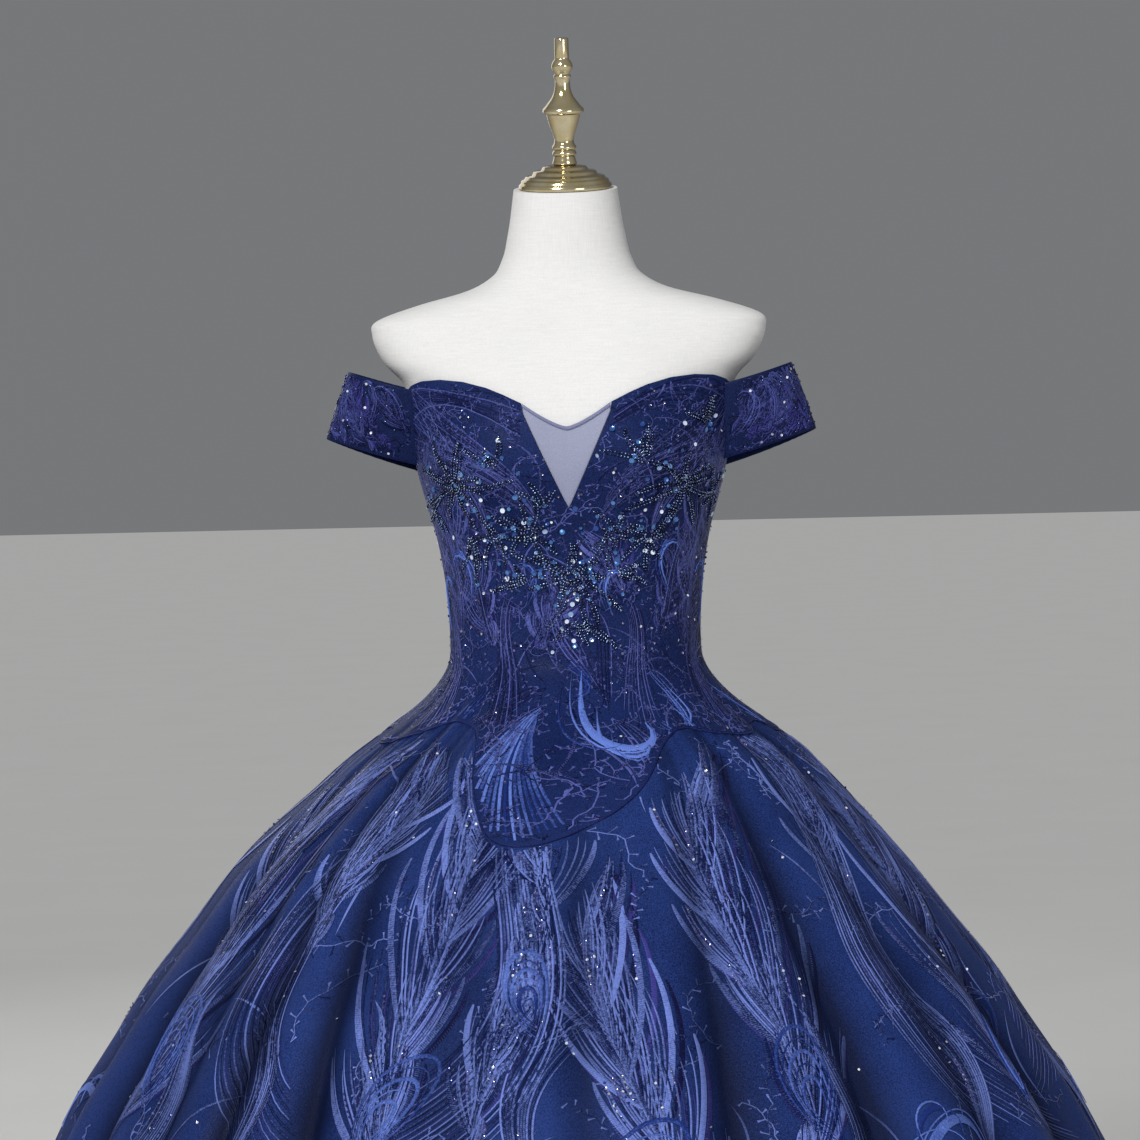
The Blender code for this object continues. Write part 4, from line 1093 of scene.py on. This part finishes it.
fine, dark, broad = [], [], []
FINE = 1.2 * MM
LACE_FEATHERS = (
    # angle, height of the foot, length, lean
    (58, 1.082, 0.20, 6), (-62, 1.088, 0.19, -2), (90, 1.070, 0.22, -8), (-88, 1.076, 0.21, 8),
    (120, 1.080, 0.20, 8), (-124, 1.072, 0.21, -10), (152, 1.060, 0.22, -6), (-150, 1.066, 0.21, 6),
    (40, 1.092, 0.11, 14), (-36, 1.078, 0.13, -14), (74, 1.180, 0.12, -12), (-76, 1.176, 0.12, 14),
    (105, 1.190, 0.12, 12), (-107, 1.180, 0.12, -12), (137, 1.190, 0.11, -16), (-136, 1.180, 0.12, 14),
    (171, 1.130, 0.15, 8), (-170, 1.120, 0.16, -8), (22, 1.128, 0.07, -20), (-14, 1.076, 0.08, 24),
)
LACE_SHEAVES = (
    # angle, height of the foot, length, lean, lines, gap in millimetres, way of opening
    (10, 1.198, 0.20, 40, 20, 4.8, "fan"), (-10, 1.198, 0.20, -40, 20, 4.8, "fan"),
    (15, 1.232, 0.16, 56, 9, 4.0, "fan"), (-15, 1.232, 0.16, -56, 9, 4.0, "fan"),
    (34, 1.182, 0.15, 14, 13, 4.4, "fan"), (-35, 1.180, 0.15, -10, 13, 4.4, "fan"),
    (24, 1.124, 0.12, 168, 9, 4.0, "flare"), (-26, 1.132, 0.13, 190, 9, 4.0, "flare"),
    (64, 1.120, 0.13, 176, 10, 4.0, "flare"), (-66, 1.130, 0.14, 182, 10, 4.0, "flare"),
    (100, 1.120, 0.13, 182, 11, 4.2, "flare"), (-98, 1.110, 0.13, 176, 11, 4.2, "flare"),
    (134, 1.110, 0.12, 174, 11, 4.2, "flare"), (-132, 1.120, 0.13, 186, 11, 4.2, "flare"),
    (166, 1.090, 0.13, 180, 12, 4.4, "flare"), (-168, 1.096, 0.13, 182, 12, 4.4, "flare"),
    (-7, 1.026, 0.085, 222, 6, 3.4, "wave"),
    (-10, 1.040, 0.080, 240, 5, 3.4, "wave"), (12, 1.012, 0.075, 150, 7, 3.4, "wave"),
    (-5, 1.128, 0.090, 176, 5, 3.2, "wave"), (6, 1.120, 0.100, 160, 5, 3.2, "wave"),
)
LACE_CURLS = (
    # angle, height, length, turn, width in millimetres, lean
    (3, 1.056, 0.114, -236, 6.0, 184), (-9, 1.070, 0.060, 200, 2.4, 120),
    (32, 1.052, 0.075, 220, 3.0, 150), (-34, 1.044, 0.080, -210, 3.0, 200),
    (17, 1.108, 0.060, 200, 2.2, -20), (-20, 1.118, 0.055, -190, 2.2, 30),
    (47, 1.130, 0.070, 220, 2.8, -30), (-50, 1.120, 0.075, -230, 2.8, 10),
    (78, 1.100, 0.080, -220, 3.0, 20), (-75, 1.096, 0.070, 210, 3.0, -20),
    (70, 1.030, 0.080, 200, 3.2, 140), (-90, 1.032, 0.080, -200, 3.2, 190),
    (106, 1.140, 0.080, 220, 3.0, -20), (-112, 1.150, 0.080, -230, 3.0, 20),
    (118, 1.036, 0.080, -210, 3.4, 170), (-120, 1.040, 0.080, 220, 3.4, 160),
    (140, 1.240, 0.070, -220, 2.8, 20), (-144, 1.230, 0.070, 210, 2.8, -30),
    (160, 1.160, 0.080, 220, 3.2, -10), (-160, 1.190, 0.080, -215, 3.2, 15),
    (172, 1.010, 0.090, -230, 4.0, 170), (-174, 1.000, 0.090, 225, 4.0, 190),
)
for angle, z, length, lean in LACE_FEATHERS:
    lobes = 5 if length > 0.15 else 4
    fine += placed(plume(length, 0.12, 0.12, lobes, 9, 0.40, 40, FINE), angle, LACE_TOP - z, lean,
                   draw.choice([-1, 1]))
    dark += placed(plume(length * 0.95, 0.12, 0.12, lobes, 4, 0.36, 48, FINE),
                   angle, LACE_TOP - z, lean + 2)
for angle, z, length, lean, lines, gap, opening in LACE_SHEAVES:
    side = 1 if angle > 0 else -1
    fine += placed(sheaf(length, -0.12, 0.25, lines, gap * MM, opening, FINE),
                   angle, LACE_TOP - z, lean, side)
    dark += placed(sheaf(length * 0.96, -0.12, 0.25, max(3, lines // 2), gap * 2 * MM, opening, 1.0 * MM),
                   angle + 0.5, LACE_TOP - z, lean, side)
for angle, z, length, turn, width, lean in LACE_CURLS:
    broad += placed(curl(length, turn, width * MM), angle, LACE_TOP - z, lean, 1, 5)
broad += placed(sheaf(0.128, -0.12, 0.25, 18, 3.7 * MM, "fan", 1.5 * MM), -9, LACE_TOP - 1.026, 196, -1)
for angle in range(-180, 180, 7):
    for down in np.arange(0.02, 0.44, 0.022):
        fine += placed(sprig(draw.uniform(0.03, 0.055), 11, 0.75 * MM), angle + draw.uniform(-5, 5),
                       down + draw.uniform(-0.012, 0.012), draw.uniform(-180, 180))
    for down in np.arange(0.03, 0.42, 0.09):
        bent = draw.uniform(30, 150) * draw.choice([-1, 1])
        fine += placed(scroll(draw.uniform(0.04, 0.09), bent, 1.2, 1.7 * MM), angle + draw.uniform(-5, 5),
                       down, draw.uniform(-60, 60))
NECK_LINES, NECK_PITCH, CORD_SAMPLES = 7, 3.6, 720
neck_angle = np.linspace(14.5, 96, 90)[None, :, None]
for side in (-1, 1):
    for number in range(NECK_LINES):
        below = 5 + NECK_PITCH * number + 5 * np.sin(neck_angle / 13 + side + 0.35 * number)
        neck_down = LACE_TOP - np.interp(neck_angle, TOP_EDGE[:, 0], TOP_EDGE[:, 1]) + (below + 3) * MM
        across = np.linspace(-0.5, 0.5, 2)[None, None, :]
        line = (0 * neck_angle * across, side * neck_angle + 0 * across, neck_down + across * 1.3 * MM,
                neck_angle * 2.4 * MM + 0 * across, across + 0.5 + 0 * neck_angle)
        (dark if number % 2 else fine).append(line)
edge_angle = np.linspace(-179.9, 179.9, CORD_SAMPLES)[None, :, None]
edge_down = LACE_TOP - lace_edge(edge_angle)
across = np.linspace(0, 1, 5)[None, None, :]
run = np.arange(CORD_SAMPLES)[None, :, None] * 1.6 * MM + 0 * across
edge_line = (0 * run, edge_angle + 0 * across, edge_down - (across * 0.9 + 0.2) * MM, run,
             across + 0 * run)
for name, groups, finish, lift, dome in (
    ("lace_lines", fine, lace_thread, 0.5, 0), ("lace_dark_lines", dark, violet_thread, 0.4, 0),
    ("lace_scrolls", broad, satin_thread, 0.5, 0.5),
):
    sewn(name, lace_cloth, lace_radius, groups, finish, lift * MM, dome * MM, within_lace)
sewn("lace_edge_cord", lace_cloth, lace_radius, [edge_line], violet_thread, 0.15 * MM, 0.3 * MM)


# Sheer insert. One layer of pale lilac net fills the V over the form, with its top edge turned
# into a narrow binding that dips at centre front.
INSERT_HALF_ANGLE = 13.42
INSERT_TOP_CENTRE, INSERT_TOP_CORNER = 1.2902, 1.3130
NET_WALL = 0.2 * MM
BINDING_STEP, BINDING_WALL, BINDING_HEIGHT = 2.4 * MM, 0.9 * MM, 3.6 * MM


def chest(out):
    """Body surface under the V, moved out level by a set amount."""
    return lambda angle, z: torso(angle, z, out, "gown")


def insert_top(angles):
    """Top edge: a dip from the corners that follows a power of the angle."""
    across = np.abs(angles) / INSERT_HALF_ANGLE
    return INSERT_TOP_CENTRE + (INSERT_TOP_CORNER - INSERT_TOP_CENTRE) * across**1.25


sheer = Finish("sheer_net", Base_Color=colour(150, 152, 186), Roughness=0.6, Sheen_Weight=0.3)
spot = sheer.place()
weave = sheer.ramp(sheer.cells(spot, 900), 0.03, 0.12)
haze = sheer.noise(sheer.stretched(spot, (14, 14, 5)), 1.0, 2.0)
sheer.feed("Base Color", sheer.mix(haze, colour(140, 144, 176), colour(182, 187, 214)))
sheer.feed("Alpha", 0.74 - 0.30 * weave + 0.14 * haze)
angles = np.linspace(-INSERT_HALF_ANGLE, INSERT_HALF_ANGLE, 49)
low = np.interp(np.abs(angles), TOP_EDGE[:, 0], TOP_EDGE[:, 1]) + 0.5 * MM
top = insert_top(angles)
points, faces = shell(chest(BODICE_EASE + NET_WALL), angles, low, top, NET_WALL, np.linspace(0, 1, 30))
insert = add_piece("v_insert", points, faces, sheer)
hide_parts("mesh_insert")

bound = Finish("net_binding", Base_Color=colour(112, 116, 156), Roughness=0.55, Sheen_Weight=0.3)
fray = bound.noise(bound.place(), 800.0, 2.0)
bound.feed("Base Color", bound.mix(fray, colour(88, 92, 134), colour(134, 140, 182)))
bound.feed("Alpha", 0.9 - 0.2 * fray)
bound.bump(fray, 0.2 * MM, 0.6)
points, faces = shell(chest(BODICE_EASE + BINDING_STEP), angles, top + NET_WALL,
                      top + BINDING_HEIGHT, BINDING_WALL, np.linspace(0, 1, 5))
binding = add_piece("v_binding", points, faces, bound)
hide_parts("mesh_binding")


# Sleeve bands. Two short bands of the same lace over satin, sewn to the bodice in front and
# behind, which stand off the form's sides. The back of each is drawn up on elastic.
SLEEVE_FRONT_TOP_ANGLE, SLEEVE_FRONT_LOW_ANGLE = 66, 77
SLEEVE_REACH_TOP, SLEEVE_REACH_LOW = 0.2210, 0.2445
SLEEVE_END_TOP_Z, SLEEVE_MIDDLE_TOP_Z = 1.333, 1.353
SLEEVE_END_LOW_Z, SLEEVE_MIDDLE_LOW_Z = 1.258, 1.290
SLEEVE_BACK_DROP = 8 * MM
SLEEVE_BULGE = 1.25
SLEEVE_GAP = 0.4 * MM
SLEEVE_GATHER = 1.1 * MM


def sleeve_surface(side):
    """Band surface by share along it from front to back and share down it. In plan it is a
    cubic from the bodice's front to its back whose middle reaches out to a set distance."""
    def surface(along, down):
        angle = SLEEVE_FRONT_TOP_ANGLE + (SLEEVE_FRONT_LOW_ANGLE - SLEEVE_FRONT_TOP_ANGLE) * down
        end_z = SLEEVE_END_TOP_Z + (SLEEVE_END_LOW_Z - SLEEVE_END_TOP_Z) * down
        out = BODICE_EASE + BODICE_WALL + SLEEVE_GAP
        start = torso(angle, end_z, out, "gown")
        finish = torso(180 - angle, end_z - SLEEVE_BACK_DROP * down, out, "gown")
        reach = SLEEVE_REACH_TOP + (SLEEVE_REACH_LOW - SLEEVE_REACH_TOP) * down
        control = (reach - 0.125 * start[..., 0] - 0.125 * finish[..., 0]) / 0.75
        w0, w1 = (1 - along) ** 3, 3 * along * (1 - along) ** 2
        w2, w3 = 3 * along**2 * (1 - along), along**3
        drawn = np.clip((along - 0.55) * 4, 0, 1) * np.sin(np.pi * along) * SLEEVE_GATHER
        x = w0 * start[..., 0] + (w1 + w2) * control + w3 * finish[..., 0]
        y = (w0 + w1 * SLEEVE_BULGE) * start[..., 1] + (w3 + w2 * SLEEVE_BULGE) * finish[..., 1]
        x = x - drawn * (0.5 + 0.5 * np.cos(150 * along + 2 * np.sin(9 * along)))
        middle = SLEEVE_MIDDLE_TOP_Z + (SLEEVE_MIDDLE_LOW_Z - SLEEVE_MIDDLE_TOP_Z) * down
        z = start[..., 2] + (finish[..., 2] - start[..., 2]) * along
        z = z + (middle - end_z) * np.sin(np.pi * along)
        return np.stack([side * x, y, z], axis=-1)
    return surface


SLEEVES = (("left", 1), ("right", -1))
SLEEVE_LENGTH, SLEEVE_HEIGHT = 0.25, 0.074
BAND_HEIGHT, BAND_WALL, BAND_COLUMNS, SLOPE_SHARE = 0.07, 1.6 * MM, 121, 0.001


def on_sleeve(side):
    """Sleeve surface by metres round it, given in degrees of a one metre circle, and metres down."""
    surface = sleeve_surface(side)
    return lambda angle, down: surface(np.radians(angle) / SLEEVE_LENGTH, down / SLEEVE_HEIGHT)


def sleeve_radius(down):
    """One metre, because the sleeve's angles are of a one metre circle."""
    return 1.0 + 0 * down


def within_sleeve(angle, down):
    """True inside the band's own edges."""
    along = np.radians(angle) / SLEEVE_LENGTH
    return (along > 0.01) & (along < 0.99) & (down > EDGE_CLEAR) & (down < SLEEVE_HEIGHT - EDGE_CLEAR)


# Painted shade: the sleeve net and thread are darker copies of the bodice lace's colours.
sleeve_net_shaded = satin_under_net("sleeve_net_shaded", colour(9, 18, 52), colour(24, 38, 86), 700)
sleeve_thread_shaded = thread_finish("sleeve_thread_shaded", colour(8, 13, 44), colour(72, 78, 146), 1.6)
for name, side in SLEEVES:
    along = np.linspace(0, 1, BAND_COLUMNS)
    surface = sleeve_surface(side)
    points, faces = shell(lambda a, b: surface(a, 1 - b / BAND_HEIGHT), along, 0 * along,
                          0 * along + BAND_HEIGHT, BAND_WALL, np.linspace(0, 1, 22),
                          (SLOPE_SHARE * side, SLOPE_RISE))
    sleeve = add_piece(f"sleeve_band_{name}", points, faces, sleeve_net_shaded)
    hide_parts(f"sleeve_{name}")
    lines, under, curls = [], [], []
    for number, place in enumerate(np.arange(0.1, 14, 0.95)):
        strokes = under if number % 2 else lines
        lean, foot = draw.uniform(15, 60), draw.uniform(0.045, 0.075)
        strokes += placed(plume(draw.uniform(0.05, 0.09), 0.12, 0.14, 3, 8, 0.44, 40, FINE),
                          place, foot, lean)
        under += placed(sheaf(draw.uniform(0.06, 0.1), 0.2, 0.3, 7, 3.4 * MM, "wave", FINE),
                        place + 0.6, 0.078, draw.uniform(20, 70))
        curls += placed(curl(0.06, draw.choice([-1, 1]) * 220, 2.6 * MM),
                        place + 0.4, draw.uniform(0.03, 0.06), draw.uniform(-60, 60), 1, 5)
        for _ in range(5):
            lines += placed(sprig(0.03, 9, 0.8 * MM), place + draw.uniform(-0.7, 0.7),
                            draw.uniform(0.005, 0.07), draw.uniform(-180, 180))
    for kind, groups, finish, lift, dome in (
        ("lines", lines, sleeve_thread_shaded, 0.5, 0), ("dark_lines", under, violet_thread, 0.4, 0),
        ("scrolls", curls, lace_thread, 0.4, 0.4),
    ):
        sewn(f"sleeve_{kind}_{name}", on_sleeve(side), sleeve_radius, groups, finish, lift * MM,
             dome * MM, within_sleeve, (SLOPE_ANGLE * side, -SLOPE_RISE))


# Beadwork. Dark navy glass beads are sewn on the bust in leafy bursts, with blue cup sequins at
# their hearts. Small clear and silvered sequins are scattered on the whole gown, singly and in
# short rows on the plumes.
GOLDEN = (1 + math.sqrt(5)) / 2
BALL_POINTS = np.array([
    (-1, GOLDEN, 0), (1, GOLDEN, 0), (-1, -GOLDEN, 0), (1, -GOLDEN, 0), (0, -1, GOLDEN), (0, 1, GOLDEN),
    (0, -1, -GOLDEN), (0, 1, -GOLDEN), (GOLDEN, 0, -1), (GOLDEN, 0, 1), (-GOLDEN, 0, -1), (-GOLDEN, 0, 1),
]) / math.hypot(1, GOLDEN) / 2
BALL_FACES = np.array([
    (0, 11, 5), (0, 5, 1), (0, 1, 7), (0, 7, 10), (0, 10, 11), (1, 5, 9), (5, 11, 4), (11, 10, 2),
    (10, 7, 6), (7, 1, 8), (3, 9, 4), (3, 4, 2), (3, 2, 6), (3, 6, 8), (3, 8, 9), (4, 9, 5),
    (2, 4, 11), (6, 2, 10), (8, 6, 7), (9, 8, 1),
])
rim = np.linspace(0, 2 * np.pi, 8, endpoint=False)
CUP_POINTS = np.concatenate([[(0, 0, -0.12)], np.stack([np.cos(rim), np.sin(rim), 0 * rim], axis=1) / 2])
CUP_FACES = np.array([(0, k + 1, (k + 1) % 8 + 1) for k in range(8)])
BALL, CUP = (BALL_POINTS, BALL_FACES), (CUP_POINTS, CUP_FACES)


def strewn(name, cloth, angle, down, shape, size, lift, finish, tilt=0.0,
           steps=(SLOPE_ANGLE, -SLOPE_RISE)):
    """Copies of a small shape set on the cloth, each turned to the surface there, spun by a random angle
    and tipped by a random share of its normal. Its UV holds how far a point lies outward and a random
    number of the copy's own, which the finishes use to place painted glints."""
    centre, normal = lifted(cloth, angle, down, np.full(len(angle), lift), steps)
    normal = normal + tilt * draw.normal(size=normal.shape)
    normal /= np.linalg.norm(normal, axis=1, keepdims=True)
    aside = np.cross(normal, draw.normal(size=normal.shape))
    aside /= np.linalg.norm(aside, axis=1, keepdims=True)
    ahead = np.cross(normal, aside)
    axes = np.stack([aside, ahead, normal], axis=1) * np.asarray(size).reshape(-1, 1, 1)
    points = centre[:, None] + np.einsum("pk,nkj->npj", shape[0], axes)
    faces = shape[1][None] + len(shape[0]) * np.arange(len(angle))[:, None, None]
    outward = np.broadcast_to(shape[0][:, 2], points.shape[:2])
    own = np.broadcast_to(draw.random(len(angle))[:, None], points.shape[:2])
    uv = np.stack([outward, own], axis=-1).reshape(-1, 2)
    return add_piece(name, points, faces.reshape(-1, 3), finish, uv=uv,
                     sharp=30 if shape is CUP else 180)


def strand(length, heading, bend, pitch):
    """Bead places of one strand: two rows side by side that close to one at the tip."""
    along = np.arange(1.2 * pitch, length, pitch)
    turn = np.radians(heading + bend * (along / length) ** 1.3)
    path = np.cumsum(np.stack([np.sin(turn), np.cos(turn)], axis=1) * pitch, axis=0)
    path += path[0] * 0.2
    beside = np.stack([np.cos(turn), -np.sin(turn)], axis=1)
    apart = pitch * 0.56 * np.clip((length - along) / (3 * pitch), 0, 1)
    return np.concatenate([path + beside * apart[:, None], path - beside * apart[:, None]])


BEAD_PITCH = 2.7 * MM
BURSTS = (
    # angle, height, strands, shortest and longest in millimetres, first heading, arc of headings
    (-46, 1.238, 15, 16, 60, 8, 360), (46, 1.236, 14, 16, 60, -10, 360), (0, 1.148, 17, 18, 60, 14, 360),
    (-15, 1.192, 9, 12, 38, 0, 360), (17, 1.188, 8, 12, 38, 20, 360), (-30, 1.190, 7, 16, 40, 100, 300),
    (32, 1.186, 7, 16, 40, 60, 300), (3, 1.104, 7, 14, 44, 120, 140), (-68, 1.214, 6, 14, 36, 0, 360),
    (70, 1.224, 6, 14, 36, 30, 360), (27, 1.262, 5, 16, 40, -80, 120), (56, 1.294, 5, 16, 40, -60, 120),
    (-26, 1.256, 4, 14, 32, -60, 120), (-17, 1.146, 4, 18, 42, 230, 90), (18, 1.150, 4, 18, 42, 50, 90),
    (-44, 1.190, 3, 24, 60, 150, 60), (-8, 1.215, 3, 14, 30, -30, 60),
)
places, hearts = [], []
for angle, z, strands, short, long, first, arc in BURSTS:
    for number in range(strands):
        heading = first + arc * (number + draw.uniform(-0.2, 0.2)) / strands
        spots = strand(MM * draw.uniform(short, long), heading, draw.uniform(-55, 55), BEAD_PITCH)
        spot_angle = angle + np.degrees(spots[:, 0] / LACE_RADIUS)
        places.append(np.stack([spot_angle, LACE_TOP - z - spots[:, 1]], axis=1))
    around = draw.normal(size=(strands * 3 // 2, 2)) * long * 0.42 * MM
    spot_angle = angle + np.degrees(around[:, 0] / LACE_RADIUS)
    hearts.append(np.stack([spot_angle, LACE_TOP - z + around[:, 1]], axis=1))
places, hearts = np.concatenate(places), np.concatenate(hearts)
places = places[within_lace(places[:, 0], places[:, 1] - 2 * MM)]
hearts = hearts[within_lace(hearts[:, 0], hearts[:, 1] - 2 * MM)]


glass = Finish("navy_glass_bead", Roughness=0.1, Coat_Weight=0.8, Coat_Roughness=0.04)
outward, own = own_uv(glass)
# Painted glint: a pale blue-white spot on each bead's outward side, brighter on some beads than others,
# with less metal in it.
painted_glint = glass.ramp(outward, 0.27, 0.42) * glass.ramp(own, 0.25, 0.95)
body = glass.mix(own, colour(8, 13, 38), colour(24, 48, 108))
glass.feed("Base Color", glass.mix(painted_glint, body, colour(168, 198, 244)))
glass.feed("Metallic", 0.7 - 0.7 * painted_glint)
cup_blue = Finish("blue_cup_sequin", Roughness=0.2, Coat_Weight=0.7, Coat_Roughness=0.06)
outward, own = own_uv(cup_blue)
body = cup_blue.mix(own, colour(26, 66, 150), colour(96, 160, 226))
# Painted glint: some of the cup sequins are painted near-white, with less metal in them.
painted_sparkle = cup_blue.ramp(own, 0.72, 0.86)
cup_blue.feed("Base Color", cup_blue.mix(painted_sparkle, body, colour(226, 238, 255)))
cup_blue.feed("Metallic", 0.45 - 0.45 * painted_sparkle)
silvered = Finish("silvered_sequin", Roughness=0.16, Coat_Weight=0.6, Coat_Roughness=0.05)
outward, own = own_uv(silvered)
# Painted glint: some of the silvered sequins are painted near-white, and the rest a dim blue.
painted_sparkle = silvered.ramp(own, 0.62, 0.9)
silvered.feed("Base Color", silvered.mix(painted_sparkle, colour(48, 62, 128), colour(236, 240, 250)))
silvered.feed("Metallic", 0.5 - 0.4 * painted_sparkle)
clear = Finish("clear_sequin", Roughness=0.12, Specular_IOR_Level=0.9, Coat_Weight=1.0,
               Coat_Roughness=0.04)
outward, own = own_uv(clear)
clear.feed("Base Color", clear.mix(own, colour(18, 22, 66), colour(96, 90, 160)))

sizes = draw.uniform(2.1, 2.6, len(places)) * MM
strewn("bust_beads", lace_cloth, places[:, 0], places[:, 1], BALL, sizes, 1.3 * MM, glass)
sizes = draw.uniform(3.6, 5.8, len(hearts)) * MM
strewn("bust_cup_sequins", lace_cloth, hearts[:, 0], hearts[:, 1], CUP, sizes, 1.5 * MM, cup_blue, 0.25)


def rows_on(groups, share, radius, inside):
    """Short rows of three to eight places along some of the lines, between their middle and tip."""
    angles, downs = [], []
    for aside, angle, down, run, across in groups:
        chosen = np.flatnonzero(draw.random(len(down)) < share)
        for line in chosen:
            first = draw.uniform(0.45, 0.75)
            at = (first + np.arange(draw.integers(3, 9)) * 0.006 / run[line].max()) * (down.shape[1] - 1)
            at = at[at < down.shape[1] - 1]
            index = np.arange(down.shape[1])
            fell = np.interp(at, index, down[line, :, 0])
            angles.append(angle + np.degrees(np.interp(at, index, aside[line, :, 0]) / radius(fell)))
            downs.append(fell)
    angles, downs = np.concatenate(angles), np.concatenate(downs)
    keep = inside(angles, downs)
    return angles[keep], downs[keep]


for name, share, size, lift, finish, tilt in (
    ("skirt_sequin_rows", 0.05, 2.8, 1.4, silvered, 0.3),
    ("skirt_clear_sequins", 0.08, 2.6, 1.3, clear, 0.25),
):
    angles, downs = rows_on(upper + lower, share, skirt_radius, below_lace)
    strewn(name, skirt_cloth, angles, downs, CUP, size * MM, lift * MM, finish, tilt)
for name, cloth, inside, count, least, most, power, size, lift, finish, tilt in (
    ("skirt_loose_sequins", skirt_cloth, below_lace, 420, 0.05, 1.27, 0.8, 2.6, 1.2, silvered, 0.4),
    ("bodice_loose_sequins", lace_cloth, within_lace, 300, 0.01, 0.42, 1, 2.8, 1.4, silvered, 0.35),
    ("bodice_clear_sequins", lace_cloth, within_lace, 700, 0.01, 0.42, 1, 2.6, 1.3, clear, 0.3),
):
    angles, downs = draw.uniform(-180, 180, count), draw.uniform(least, most, count) ** power
    keep = inside(angles, downs)
    strewn(name, cloth, angles[keep], downs[keep], CUP, size * MM, lift * MM, finish, tilt)
for name, side in SLEEVES:
    for kind, shape, count, size, lift, finish, tilt in (
        ("sequins", CUP, 60, 2.8, 1.2, silvered, 0.35), ("beads", BALL, 70, 2.2, 1.0, glass, 0.0),
    ):
        angles, downs = draw.uniform(0.6, 13.6, count), draw.uniform(0.004, 0.070, count)
        strewn(f"sleeve_{kind}_{name}", on_sleeve(side), angles, downs, shape, size * MM, lift * MM,
               finish, tilt, (SLOPE_ANGLE * side, -SLOPE_RISE))


# Zip. A concealed zip closes the back. Its slider sits at the top, painted to match, and its
# pull tab hangs from the slider's bar.
ZIP_TOP_Z, ZIP_LOW_Z = 1.3175, 0.955
zip_down = np.linspace(LACE_TOP - ZIP_TOP_Z, LACE_TOP - ZIP_LOW_Z, 90)[None, :, None]
across = np.linspace(0, 1, 5)[None, None, :]
for name, middle, wide, lift, dome, finish in (
    ("zip_seam", 180.0, 1.1, 0.05, 0.0, violet_thread),
    ("zip_fold_left", 179.1, 1.6, 0.05, 0.5, lace_thread),
    ("zip_fold_right", -179.1, 1.6, 0.05, 0.5, lace_thread),
):
    line = (across * wide * MM - wide * MM / 2 + 0 * zip_down, middle, zip_down + 0 * across,
            zip_down + 0 * across, across + 0 * zip_down)
    sewn(name, lace_cloth, lace_radius, [line], finish, lift * MM, dome * MM)
zip_paint = Finish("painted_zip", Base_Color=colour(70, 82, 130), Roughness=0.3, Metallic=0.4)
chip = zip_paint.noise(zip_paint.place(), 900.0, 3.0)
zip_paint.feed("Base Color", zip_paint.mix(chip, colour(58, 70, 118), colour(92, 104, 152)))
zip_paint.feed("Roughness", 0.25 + 0.25 * chip)
zip_paint.bump(chip, 0.05 * MM, 0.5)
for node in ("zip_slider", "zip_pull"):
    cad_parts[node].data.materials.clear()
    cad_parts[node].data.materials.append(zip_paint.material)


low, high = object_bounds()
